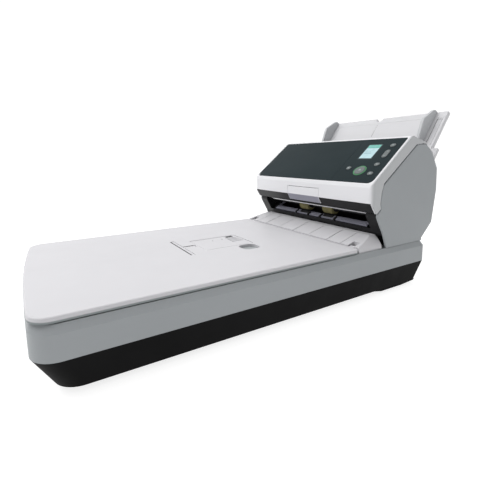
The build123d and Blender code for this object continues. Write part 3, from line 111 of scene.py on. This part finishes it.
def start_material(name):
    """A node material with its shader and object coordinates."""
    material = bpy.data.materials.new(name)
    material.use_nodes = True
    nodes = material.node_tree.nodes
    links = material.node_tree.links
    shader = nodes["Principled BSDF"]
    coordinates = nodes.new("ShaderNodeTexCoord")
    return material, nodes, links, shader, coordinates


def add_noise(nodes, links, coordinates, scale, detail=3.0, stretch=None):
    """Noise in object coordinates; scale is in cells per metre."""
    noise = nodes.new("ShaderNodeTexNoise")
    noise.inputs["Scale"].default_value = scale
    noise.inputs["Detail"].default_value = detail
    if stretch:
        mapping = nodes.new("ShaderNodeMapping")
        mapping.inputs["Scale"].default_value = stretch
        links.new(coordinates.outputs["Object"], mapping.inputs["Vector"])
        links.new(mapping.outputs["Vector"], noise.inputs["Vector"])
    else:
        links.new(coordinates.outputs["Object"], noise.inputs["Vector"])
    return noise


def add_ramp(nodes, links, source, dark, light, low=0.35, high=0.65):
    """A colour ramp from one colour to the other over the given stretch of the source."""
    ramp = nodes.new("ShaderNodeValToRGB")
    ramp.color_ramp.elements[0].position = low
    ramp.color_ramp.elements[1].position = high
    ramp.color_ramp.elements[0].color = (*dark, 1)
    ramp.color_ramp.elements[1].color = (*light, 1)
    links.new(source, ramp.inputs["Fac"])
    return ramp


def add_range(nodes, links, source, low, high):
    """Map 0.3 to 0.7 of the source onto the given range."""
    spread = nodes.new("ShaderNodeMapRange")
    spread.inputs["From Min"].default_value = 0.3
    spread.inputs["From Max"].default_value = 0.7
    spread.inputs["To Min"].default_value = low
    spread.inputs["To Max"].default_value = high
    links.new(source, spread.inputs["Value"])
    return spread


def add_bump(nodes, links, shader, source, distance, strength):
    """Bump from a height source."""
    bump = nodes.new("ShaderNodeBump")
    bump.inputs["Distance"].default_value = distance
    bump.inputs["Strength"].default_value = strength
    links.new(source, bump.inputs["Height"])
    links.new(bump.outputs["Normal"], shader.inputs["Normal"])


def shade(colour, factor):
    """A colour made lighter or darker."""
    return tuple(min(1.0, channel * factor) for channel in colour)


def moulded(name, colour, roughness=0.45, specular=0.5, grain=900.0, grain_height=0.00004, spread=0.04,
            handling=0.04):
    """Injection-moulded plastic: spark-eroded grain, faint colour drift and slightly worn gloss."""
    material, nodes, links, shader, coordinates = start_material(name)
    drift = add_noise(nodes, links, coordinates, DRIFT_SCALE, 4.0)
    ramp = add_ramp(nodes, links, drift.outputs["Fac"], shade(colour, 1 - spread), shade(colour, 1 + spread))
    links.new(ramp.outputs["Color"], shader.inputs["Base Color"])
    patches = add_noise(nodes, links, coordinates, PATCH_SCALE, 5.0)
    gloss = add_range(nodes, links, patches.outputs["Fac"], roughness - handling, roughness + handling)
    links.new(gloss.outputs["Result"], shader.inputs["Roughness"])
    texture = add_noise(nodes, links, coordinates, grain, 2.0)
    add_bump(nodes, links, shader, texture.outputs["Fac"], grain_height, 0.6)
    shader.inputs["Specular IOR Level"].default_value = specular
    return material


def shade_by_place(material, axis, start, end, colour):
    """Blend the base colour into another one between two places on an axis, in metres.

    On X the places are distances from the middle of the object.
    """
    nodes = material.node_tree.nodes
    links = material.node_tree.links
    shader = nodes["Principled BSDF"]
    first = shader.inputs["Base Color"].links[0].from_socket
    coordinates = nodes.new("ShaderNodeTexCoord")
    split = nodes.new("ShaderNodeSeparateXYZ")
    links.new(coordinates.outputs["Object"], split.inputs["Vector"])
    place = split.outputs[axis]
    if axis == "X":
        distance = nodes.new("ShaderNodeMath")
        distance.operation = "ABSOLUTE"
        links.new(place, distance.inputs[0])
        place = distance.outputs["Value"]
    blend = nodes.new("ShaderNodeMapRange")
    blend.inputs["From Min"].default_value = start
    blend.inputs["From Max"].default_value = end
    links.new(place, blend.inputs["Value"])
    mix = nodes.new("ShaderNodeMix")
    mix.data_type = "RGBA"
    links.new(blend.outputs["Result"], mix.inputs["Factor"])
    links.new(first, mix.inputs["A"])
    mix.inputs["B"].default_value = (*colour, 1)
    links.new(mix.outputs["Result"], shader.inputs["Base Color"])


def polished(name, colour, roughness=0.2, coat=0.3, spread=0.06, specular=0.5):
    """Smooth glossy plastic with a clear film, fine dust and hardly visible ripples."""
    material, nodes, links, shader, coordinates = start_material(name)
    drift = add_noise(nodes, links, coordinates, FILM_DRIFT_SCALE, 3.0)
    ramp = add_ramp(nodes, links, drift.outputs["Fac"], shade(colour, 1 - spread), shade(colour, 1 + spread))
    links.new(ramp.outputs["Color"], shader.inputs["Base Color"])
    smudges = add_noise(nodes, links, coordinates, SMUDGE_SCALE, 6.0)
    gloss = add_range(nodes, links, smudges.outputs["Fac"], roughness, roughness + 0.08)
    links.new(gloss.outputs["Result"], shader.inputs["Roughness"])
    ripple = add_noise(nodes, links, coordinates, RIPPLE_SCALE, 1.0)
    add_bump(nodes, links, shader, ripple.outputs["Fac"], RIPPLE_HEIGHT, 0.3)
    shader.inputs["Specular IOR Level"].default_value = specular
    shader.inputs["Coat Weight"].default_value = coat
    shader.inputs["Coat Roughness"].default_value = 0.08
    return material


def metal(name, colour, roughness=0.3, stretch=(1, 1, 1), metallic=1.0):
    """Metal with drawing lines along the axis whose stretch factor is small."""
    material, nodes, links, shader, coordinates = start_material(name)
    lines = add_noise(nodes, links, coordinates, DRAWING_SCALE, 4.0, stretch)
    ramp = add_ramp(nodes, links, lines.outputs["Fac"], shade(colour, 0.88), shade(colour, 1.1))
    links.new(ramp.outputs["Color"], shader.inputs["Base Color"])
    gloss = add_range(nodes, links, lines.outputs["Fac"], roughness - 0.06, roughness + 0.08)
    links.new(gloss.outputs["Result"], shader.inputs["Roughness"])
    add_bump(nodes, links, shader, lines.outputs["Fac"], DRAWING_HEIGHT, 0.3)
    shader.inputs["Metallic"].default_value = metallic
    return material


def rubber(name, colour, grain=1400.0):
    """Matt rubber with a fine, dry surface."""
    material, nodes, links, shader, coordinates = start_material(name)
    dust = add_noise(nodes, links, coordinates, DUST_SCALE, 6.0)
    ramp = add_ramp(nodes, links, dust.outputs["Fac"], shade(colour, 0.85), shade(colour, 1.25))
    links.new(ramp.outputs["Color"], shader.inputs["Base Color"])
    gloss = add_range(nodes, links, dust.outputs["Fac"], 0.7, 0.88)
    links.new(gloss.outputs["Result"], shader.inputs["Roughness"])
    texture = add_noise(nodes, links, coordinates, grain, 2.0)
    add_bump(nodes, links, shader, texture.outputs["Fac"], RUBBER_HEIGHT, 0.7)
    shader.inputs["Specular IOR Level"].default_value = 0.25
    return material


def clear_glass(name):
    """Float glass with a trace of green and faint wiping marks."""
    material, nodes, links, shader, coordinates = start_material(name)
    wipes = add_noise(nodes, links, coordinates, WIPE_SCALE, 6.0, (1, 3, 1))
    ramp = add_ramp(nodes, links, wipes.outputs["Fac"], (0.86, 0.93, 0.9), (0.9, 0.96, 0.94))
    links.new(ramp.outputs["Color"], shader.inputs["Base Color"])
    gloss = add_range(nodes, links, wipes.outputs["Fac"], 0.02, 0.06)
    links.new(gloss.outputs["Result"], shader.inputs["Roughness"])
    shader.inputs["Transmission Weight"].default_value = 1.0
    shader.inputs["IOR"].default_value = 1.5
    return material


def lit_screen(name, colour, strength):
    """A lit display area with the faint unevenness of its backlight."""
    material, nodes, links, shader, coordinates = start_material(name)
    backlight = add_noise(nodes, links, coordinates, RIPPLE_SCALE, 2.0)
    ramp = add_ramp(nodes, links, backlight.outputs["Fac"], shade(colour, 0.9), shade(colour, 1.08))
    links.new(ramp.outputs["Color"], shader.inputs["Base Color"])
    links.new(ramp.outputs["Color"], shader.inputs["Emission Color"])
    gloss = add_range(nodes, links, backlight.outputs["Fac"], 0.12, 0.2)
    links.new(gloss.outputs["Result"], shader.inputs["Roughness"])
    shader.inputs["Emission Strength"].default_value = strength
    return material


COVER_WHITE = (0.66, 0.66, 0.68)
# painted shade: the grey that the white cover's side cheeks are darkened to
COVER_CHEEK_SHADE = (0.42, 0.43, 0.44)
LID_WHITE = (0.545, 0.54, 0.56)
# painted shade: the grey that the lid's side rim is darkened to
LID_RIM_SHADE = (0.21, 0.235, 0.24)
CHUTE_WHITE = (0.55, 0.55, 0.565)

MATERIALS = {
    "tray_black": moulded("tray_black", (0.0045, 0.0045, 0.0047), 0.6, 0.05,
                          grain=700.0, grain_height=0.00006, spread=0.12),
    "case_grey": moulded("case_grey", (0.295, 0.312, 0.324), 0.5, 0.3, spread=0.02),
    "cover_white": moulded("cover_white", COVER_WHITE, 0.42, 0.35, spread=0.015),
    "lid_white": moulded("lid_white", LID_WHITE, 0.5, 0.3, spread=0.015),
    "panel_slate": polished("panel_slate", (0.0175, 0.026, 0.029), 0.3, 0.0, specular=0.03),
    "button_slate": moulded("button_slate", (0.115, 0.13, 0.132), 0.4, 0.35),
    "ring_green": polished("ring_green", (0.06, 0.20, 0.09), 0.3, 0.0, specular=0.2),
    "screen": polished("screen", (0.03, 0.05, 0.055), 0.12, 0.2, specular=0.3),
    "bezel_black": moulded("bezel_black", (0.009, 0.009, 0.010), 0.4, 0.2, spread=0.1),
    "guide_lilac": moulded("guide_lilac", (0.27, 0.27, 0.325), 0.35, 0.4),
    "guide_grey": moulded("guide_grey", (0.44, 0.45, 0.465), 0.45, 0.35),
    "glass": clear_glass("glass"),
    "pad_white": moulded("pad_white", (0.78, 0.78, 0.76), 0.7, 0.2,
                         grain=400.0, grain_height=0.00008, spread=0.03),
    "rubber_black": rubber("rubber_black", (0.02, 0.02, 0.021)),
    "rubber_tan": rubber("rubber_tan", (0.20, 0.18, 0.085)),
    "steel": metal("steel", (0.62, 0.62, 0.64), 0.25, (0.02, 1, 1)),
    "zinc": moulded("zinc", (0.015, 0.015, 0.016), 0.35, 0.4),
    "motor": metal("motor", (0.30, 0.30, 0.31), 0.4, (1, 1, 0.05)),
    "board_green": polished("board_green", (0.015, 0.12, 0.05), 0.35),
    "inner_black": moulded("inner_black", (0.010, 0.010, 0.011), 0.45, 0.3, spread=0.1),
    "screen_header": lit_screen("screen_header", (0.06, 0.20, 0.17), 1.1),
    "screen_field": lit_screen("screen_field", (0.215, 0.31, 0.33), 1.0),
    "screen_mark": lit_screen("screen_mark", (0.12, 0.22, 0.25), 0.6),
    # painted shade: the dark colour of the strips in the lid's finger gaps and in the ramp's grooves
    "groove_painted_shade": moulded("groove_painted_shade", (0.022, 0.022, 0.024), 0.6, 0.2, spread=0.15),
    "label_grey": moulded("label_grey", (0.16, 0.19, 0.19), 0.5, 0.3, spread=0.3),
    "line_grey": moulded("line_grey", (0.10, 0.10, 0.105), 0.6, 0.2, spread=0.15),
    "print_white": moulded("print_white", (0.26, 0.30, 0.30), 0.5, 0.3, spread=0.05),
    "port_black": moulded("port_black", (0.012, 0.012, 0.012), 0.4, 0.4),
}


def single_materials():
    """Materials of the nodes whose colour differs from that of their slot; on the lid's rim and the cover's
    side cheeks the difference is painted shade.
    """
    chute = moulded("chute_white", CHUTE_WHITE, 0.45, 0.3, spread=0.015)
    lid = moulded("lid_rim_painted_shade", LID_WHITE, 0.5, 0.3, spread=0.015)
    lid_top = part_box("lid_shell")[1][2]
    # painted shade: the lid's white side rim darkens to grey towards its lower edge
    shade_by_place(lid, "Z", lid_top - 3.4 * MM, lid_top - 4.4 * MM, LID_RIM_SHADE)
    cover = moulded("cover_cheek_painted_shade", COVER_WHITE, 0.42, 0.35, spread=0.015)
    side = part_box("cover_shell")[1][0]
    # painted shade: the white cover's side faces darken towards grey near its sides
    shade_by_place(cover, "X", side - 3.5 * MM, side - 0.6 * MM, COVER_CHEEK_SHADE)
    return {"chute_plate": chute, "chute_extension": chute, "lid_shell": lid, "cover_shell": cover}


def dress_cad_nodes():
    """Give every CAD node the material of its slot, or its own."""
    own = single_materials()
    for subpart in frame["record"]["subparts"]:
        node = frame["nodes"][subpart["node"]]
        material = own.get(subpart["node"], MATERIALS[subpart["material_slot"]])
        node.data.materials.clear()
        node.data.materials.append(material)


dress_cad_nodes()


# ---------------------------------------------------------------- mesh helpers
def mesh_piece(name, build, slot, body):
    """A mesh object made by a bmesh function, in its slot's material, riding on a body."""
    data = bpy.data.meshes.new(name)
    shape = bmesh.new()
    build(shape)
    bmesh.ops.recalc_face_normals(shape, faces=shape.faces)
    shape.to_mesh(data)
    shape.free()
    piece = bpy.data.objects.new(name, data)
    bpy.context.collection.objects.link(piece)
    piece.data.materials.append(MATERIALS[slot])
    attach(piece, body)
    return piece


def raised_outline(shape, face, outline, low, high):
    """A flat-topped solid with this outline on a sloping face, between two heights above it."""
    bottom = [shape.verts.new(on_slope(face, x, y, low)) for x, y in outline]
    top = [shape.verts.new(on_slope(face, x, y, high)) for x, y in outline]
    shape.faces.new(top)
    shape.faces.new(list(reversed(bottom)))
    count = len(outline)
    for index in range(count):
        after = (index + 1) % count
        shape.faces.new((bottom[index], bottom[after], top[after], top[index]))


def rounded_rectangle(x_low, x_high, y_low, y_high, radius, steps=5):
    """The outline of a rectangle with round corners."""
    points = []
    corners = ((x_high, y_high, 0), (x_low, y_high, 1), (x_low, y_low, 2), (x_high, y_low, 3))
    for corner_x, corner_y, quarter in corners:
        centre_x = corner_x - radius if quarter in (0, 3) else corner_x + radius
        centre_y = corner_y - radius if quarter in (0, 1) else corner_y + radius
        for step in range(steps + 1):
            angle = math.pi / 2 * (quarter + step / steps)
            points.append((centre_x + radius * math.cos(angle), centre_y + radius * math.sin(angle)))
    return points


# ---------------------------------------------------------------- screen content
SCREEN_X = (82.2, 105.0)
SCREEN_Y = (56.2, 89.0)
SCREEN_FACE = -0.3              # the display lies this much below the panel
HEADER_FOOT = 81.0
# rows of the display: x low, x high, y low, y high
SCREEN_ROWS = (
    (84.0, 97.0, 84.2, 85.2), (84.5, 100.0, 75.6, 76.3), (84.5, 95.0, 71.6, 72.3), (84.5, 98.0, 67.6, 68.3),
)


def flat_shape(face, outline, low, high):
    """A builder of one flat-topped solid on a sloping face."""
    def build(shape):
        raised_outline(shape, face, outline, low, high)
    return build


def build_screen():
    """Header bar, field and a few rows of the display."""
    top = SCREEN_FACE + 0.06
    header = rounded_rectangle(*SCREEN_X, HEADER_FOOT, SCREEN_Y[1], 0.4)
    field = rounded_rectangle(*SCREEN_X, SCREEN_Y[0], HEADER_FOOT - 0.2, 0.4)
    pieces = {
        "screen_header": ("screen_header", header, top),
        "screen_field": ("screen_field", field, top),
    }
    for number, limits in enumerate(SCREEN_ROWS):
        row = rounded_rectangle(*limits, 0.3)
        pieces["screen_row_" + str(number)] = ("screen_mark", row, top + 0.03)
    for name, (material, outline, height) in pieces.items():
        build = flat_shape(PANEL, outline, SCREEN_FACE, height)
        mesh_piece(name, build, material, "feeder_cover")


build_screen()


def symbol_outline(kind, centre_x, centre_y, size):
    """The outline of a small generic sign."""
    if kind == "square":
        return rounded_rectangle(
            centre_x - size, centre_x + size, centre_y - size, centre_y + size, size * 0.2
        )
    if kind == "arrow":
        return [
            (centre_x - size, centre_y - size * 0.6), (centre_x + size, centre_y - size * 0.6),
            (centre_x, centre_y + size * 0.8),
        ]
    return [
        (centre_x + size * math.cos(math.tau * step / 20), centre_y + size * math.sin(math.tau * step / 20))
        for step in range(20)
    ]


SIGN_FOOT = 0.98                # the signs start just inside the buttons
SIGN_TOP = 1.04


def build_signs():
    """Small generic signs on the buttons."""
    # button, kind, x, y and half size of its sign
    signs = (
        ("scan_button", "arrow", 104.0, 27.8, 2.6),
        ("stop_button", "square", 80.0, 31.5, 1.2),
        ("menu_button", "square", 126.3, 86.0, 1.1),
        ("rocker_button", "arrow", 126.0, 71.5, 1.3),
        ("mode_button", "round", 125.5, 41.5, 1.2),
        ("power_button", "round", 126.5, 21.3, 1.3),
    )
    for body, kind, x, y, size in signs:
        outline = symbol_outline(kind, x, y, size)
        build = flat_shape(PANEL, outline, SIGN_FOOT, SIGN_TOP)
        mesh_piece(body + "_sign", build, "print_white", body)
    # the rocker's other arrow points down
    down = [(124.7, 61.3), (126.0, 59.4), (127.3, 61.3)]
    build = flat_shape(PANEL, down, SIGN_FOOT, SIGN_TOP)
    mesh_piece("rocker_button_sign_down", build, "print_white", "rocker_button")


build_signs()

# label strips: x low, x high, y of the lower edge
LABELS_WITH_TWO_ROWS = ((77.5, 84.5, 41.5), (93.0, 101.5, 45.5), (110.0, 124.0, 50.0))
LABELS_WITH_ONE_ROW = ((119.0, 131.0, 30.5), (119.5, 132.5, 95.0))
LABEL_HEIGHT = 0.8


def build_label_marks():
    """Short plain strips on the panel where each control has its label."""
    strips = list(LABELS_WITH_TWO_ROWS + LABELS_WITH_ONE_ROW)
    for left, right, foot in LABELS_WITH_TWO_ROWS:
        strips.append((left + 1.0, right - 1.5, foot - 2 * LABEL_HEIGHT))
    for number, (left, right, foot) in enumerate(strips):
        outline = rounded_rectangle(left, right, foot, foot + LABEL_HEIGHT, 0.3)
        build = flat_shape(PANEL, outline, -0.02, 0.03)
        mesh_piece("label_mark_" + str(number), build, "label_grey", "feeder_cover")


build_label_marks()


# ---------------------------------------------------------------- lid details
def level_strip(x_low, x_high, depth_low, depth_high, z_low, z_high):
    """A builder of a low strip whose top edges are eased."""
    def build(shape):
        ease = min(0.15, (x_high - x_low) / 5, (depth_high - depth_low) / 5)
        rings = []
        for z, inset in ((z_low, 0.0), (z_high - 0.05, 0.0), (z_high, ease)):
            corners = (
                (x_low + inset, depth_low + inset), (x_high - inset, depth_low + inset),
                (x_high - inset, depth_high - inset), (x_low + inset, depth_high - inset),
            )
            rings.append([
                shape.verts.new((x * MM, behind(depth), LOW[2] + z * MM)) for x, depth in corners
            ])
        shape.faces.new(list(reversed(rings[0])))
        shape.faces.new(rings[-1])
        for lower, upper in zip(rings, rings[1:]):
            for index in range(4):
                after = (index + 1) % 4
                shape.faces.new((lower[index], lower[after], upper[after], upper[index]))
    return build


RECESS_DEPTH = 3.3              # from the top of the lid to the floor of its recesses
# painted shade: dark strips in the lid's finger gaps: x low, x high, distances behind the front edge, top
# below the lid's
LID_GAP_SHADES = {
    "bar_gap_shade": (-41.8, 41.8, 189.9, 192.0, 0.5),
    "stem_gap_shade": (-5.1, -3.2, 196.6, 212.0, 0.5),
    "plate_gap_shade": (29.6, 30.9, 220.0, 295.6, 0.6),
}
GRIP_HOLE = (-27.4, -19.8, 277.2, 289.8)


def build_lid_details():
    """Painted shade: dark strips in the finger gaps round the stacker plate and its stopper bar, and in the
    plate's grip hole.
    """
    lid_top = (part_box("lid_shell")[1][2] - LOW[2]) / MM
    floor = lid_top - RECESS_DEPTH
    for name, (x_low, x_high, near, far, below) in LID_GAP_SHADES.items():
        build = level_strip(x_low, x_high, near, far, floor, lid_top - below)
        mesh_piece(name, build, "groove_painted_shade", "document_cover")
    # painted shade in the stacker plate's grip hole
    build = level_strip(*GRIP_HOLE, floor + 0.4, lid_top - 1.2)
    mesh_piece("grip_hole_shade", build, "groove_painted_shade", "stacker_plate")


build_lid_details()


# ---------------------------------------------------------------- release lever
LIP_HALF = 39.2
LIP_BOW = 0.12                  # the face stands out this much more in the middle
LIP_COLUMNS = 12
# section of the face: distance behind the front edge, height
LIP_OUTLINE = ((417.05, 138.2), (423.75, 127.3), (423.95, 127.45), (417.25, 138.3))


def build_lever_lip():
    """The smooth lilac face of the release lever's finger lip."""
    def build(shape):
        rings = []
        for column in range(LIP_COLUMNS + 1):
            place = 2 * column / LIP_COLUMNS - 1
            bow = LIP_BOW * (1 - abs(place))
            rings.append([
                shape.verts.new((place * LIP_HALF * MM, behind(depth - bow), LOW[2] + z * MM))
                for depth, z in LIP_OUTLINE
            ])
        for left, right in zip(rings, rings[1:]):
            for index in range(4):
                after = (index + 1) % 4
                shape.faces.new((left[index], left[after], right[after], right[index]))
        shape.faces.new(rings[0])
        shape.faces.new(list(reversed(rings[-1])))

    mesh_piece("lever_lip_face", build, "guide_lilac", "release_lever")


build_lever_lip()


# ---------------------------------------------------------------- fine lines of the ramp and the chute
def slope_strip(face, x_range, along_range, height):
    """A builder of a thin strip that lies on a sloping face."""
    def build(shape):
        outline = rounded_rectangle(*x_range, *along_range, min(x_range[1] - x_range[0], 1.0) * 0.3, 2)
        raised_outline(shape, face, outline, height - 0.03, height)
    return build


GROOVE_ALONG = (2.5, 38.2)      # stretch of the ramp that the painted groove shade covers
# painted shade on the floors of the ramp's grooves: their x, half width and depth below the ramp
DEEP_GROOVES = ((-80.0, 0.0, 80.0), 0.62, 1.3)
FINE_GROOVES = ((-108.0, -39.0, 39.0, 108.0), 0.38, 0.65)


def build_groove_shades():
    """Painted shade: dark strips on the floors of the ramp's deep and shallow grooves."""
    for kind, (places, half, depth) in (("deep", DEEP_GROOVES), ("fine", FINE_GROOVES)):
        for index, x in enumerate(places):
            build = slope_strip(RAMP, (x - half, x + half), GROOVE_ALONG, -depth)
            groove_shade = mesh_piece("groove_" + kind + "_" + str(index), build, "groove_painted_shade", "base")


RECESS_ALONG = (-69.7, -15.3)
RECESS_FLOOR = -0.8
# painted shade along the edges of the chute's recesses, and the chute's centre line: x range, stretch up the
# chute, height
CHUTE_STRIPS = {
    "chute_strip_left_inner": ((-119.4, -118.7), RECESS_ALONG, RECESS_FLOOR),
    "chute_strip_left_outer": ((-127.7, -127.0), RECESS_ALONG, RECESS_FLOOR),
    "chute_strip_right_inner": ((118.7, 119.4), RECESS_ALONG, RECESS_FLOOR),
    "chute_strip_right_outer": ((127.0, 127.7), RECESS_ALONG, RECESS_FLOOR),
    "chute_centre_line": ((-0.4, 0.4), (-43.8, -28.2), -0.5),
}
DOTS_ALONG = (-25.0, -20.5, -16.0)


def build_chute_lines():
    """Painted shade on the floors of the chute's recesses along their edges, and the chute's darker centre
    line and dots.
    """
    for name, (x_range, along_range, height) in CHUTE_STRIPS.items():
        build = slope_strip(CHUTE, x_range, along_range, height)
        mesh_piece(name, build, "line_grey", "base")
    for number, along in enumerate(DOTS_ALONG):
        build = flat_shape(CHUTE, symbol_outline("round", 0.0, along, 0.8), -0.55, -0.5)
        mesh_piece("chute_dot_" + str(number), build, "line_grey", "base")


build_groove_shades()
build_chute_lines()


# ---------------------------------------------------------------- floor, light and camera
BRIGHT_SIDE = (-0.82, 0.49, -0.3)
DIM_STRENGTH = 0.42
BRIGHT_STRENGTH = 1.06
BLEND_START = 0.05              # of the dot product with the direction of the bright side
BLEND_END = 0.48


def build_world():
    """Bright behind the object as the camera sees it, dimmer on the other sides."""
    world = bpy.data.worlds.new("studio")
    bpy.context.scene.world = world
    world.use_nodes = True
    nodes = world.node_tree.nodes
    links = world.node_tree.links
    direction = nodes.new("ShaderNodeTexCoord")
    along = nodes.new("ShaderNodeVectorMath")
    along.operation = "DOT_PRODUCT"
    along.inputs[1].default_value = BRIGHT_SIDE
    strength = nodes.new("ShaderNodeMapRange")
    strength.interpolation_type = "SMOOTHSTEP"
    strength.inputs["From Min"].default_value = BLEND_START
    strength.inputs["From Max"].default_value = BLEND_END
    strength.inputs["To Min"].default_value = DIM_STRENGTH
    strength.inputs["To Max"].default_value = BRIGHT_STRENGTH
    links.new(direction.outputs["Generated"], along.inputs[0])
    links.new(along.outputs["Value"], strength.inputs["Value"])
    links.new(strength.outputs["Result"], nodes["Background"].inputs["Strength"])
    nodes["Background"].inputs["Color"].default_value = (1.0, 1.0, 1.0, 1)


def softbox(name, place, target, size, energy):
    """A large rectangular lamp."""
    light = bpy.data.lights.new(name, "AREA")
    light.shape = "RECTANGLE"
    light.size, light.size_y = size
    light.energy = energy
    lamp = bpy.data.objects.new(name, light)
    lamp.location = place
    lamp.rotation_euler = (Vector(target) - Vector(place)).to_track_quat("-Z", "Y").to_euler()
    bpy.context.collection.objects.link(lamp)


FLOOR_HALF = 12.0               # metres
FLOOR_GLOW = 0.82
LAMP_TARGET = (0, 0, 0.05)
# place and size in metres, power in watts
LAMPS = {
    "key": ((-0.9, -1.3, 1.7), 1.4, 34),
    "top": ((0.3, 0.2, 2.2), 1.8, 20),
}


def build_stage():
    """A pale floor, the surroundings and two large lamps."""
    data = bpy.data.meshes.new("floor")
    half = FLOOR_HALF
    data.from_pydata(
        [(-half, -half, LOW[2]), (half, -half, LOW[2]), (half, half, LOW[2]), (-half, half, LOW[2])],
        [], [(0, 1, 2, 3)],
    )
    floor = bpy.data.objects.new("floor", data)
    bpy.context.collection.objects.link(floor)
    pale = moulded("floor_pale", (0.4, 0.4, 0.4), 0.8, 0.05, 200.0, 0.0001, 0.005)
    glow = pale.node_tree.nodes["Principled BSDF"]
    glow.inputs["Emission Color"].default_value = (1.0, 1.0, 1.0, 1)
    glow.inputs["Emission Strength"].default_value = FLOOR_GLOW
    floor.data.materials.append(pale)
    build_world()
    for name, (place, size, energy) in LAMPS.items():
        softbox(name, place, LAMP_TARGET, (size, size), energy)


build_stage()

LENS = 25.04                    # millimetres, on a 36 mm wide sensor
CAMERA_SHIFT = (0.0066, -0.0872)
CAMERA_PLACE = (0.4532, behind(21.5), LOW[2] + 0.2057)
CAMERA_TURN = math.radians(58.94)
CAMERA_TILT = math.radians(90 - 7.64)
CAMERA_ROLL = math.radians(-0.67)


def build_camera():
    """A close wide-angle view from beside the front right corner, nearly as high as the feeder."""
    data = bpy.data.cameras.new("camera")
    data.lens = LENS
    data.sensor_width = 36.0
    data.shift_x, data.shift_y = CAMERA_SHIFT
    data.clip_start = 0.01
    camera = bpy.data.objects.new("camera", data)
    turn = Matrix.Rotation(CAMERA_TURN, 4, "Z")
    tilt = Matrix.Rotation(CAMERA_TILT, 4, "X")
    roll = Matrix.Rotation(CAMERA_ROLL, 4, "Z")
    place = Matrix.Translation(CAMERA_PLACE)
    camera.matrix_world = place @ turn @ tilt @ roll
    bpy.context.collection.objects.link(camera)
    bpy.context.scene.camera = camera


build_camera()
bpy.context.scene.view_settings.view_transform = "Standard"
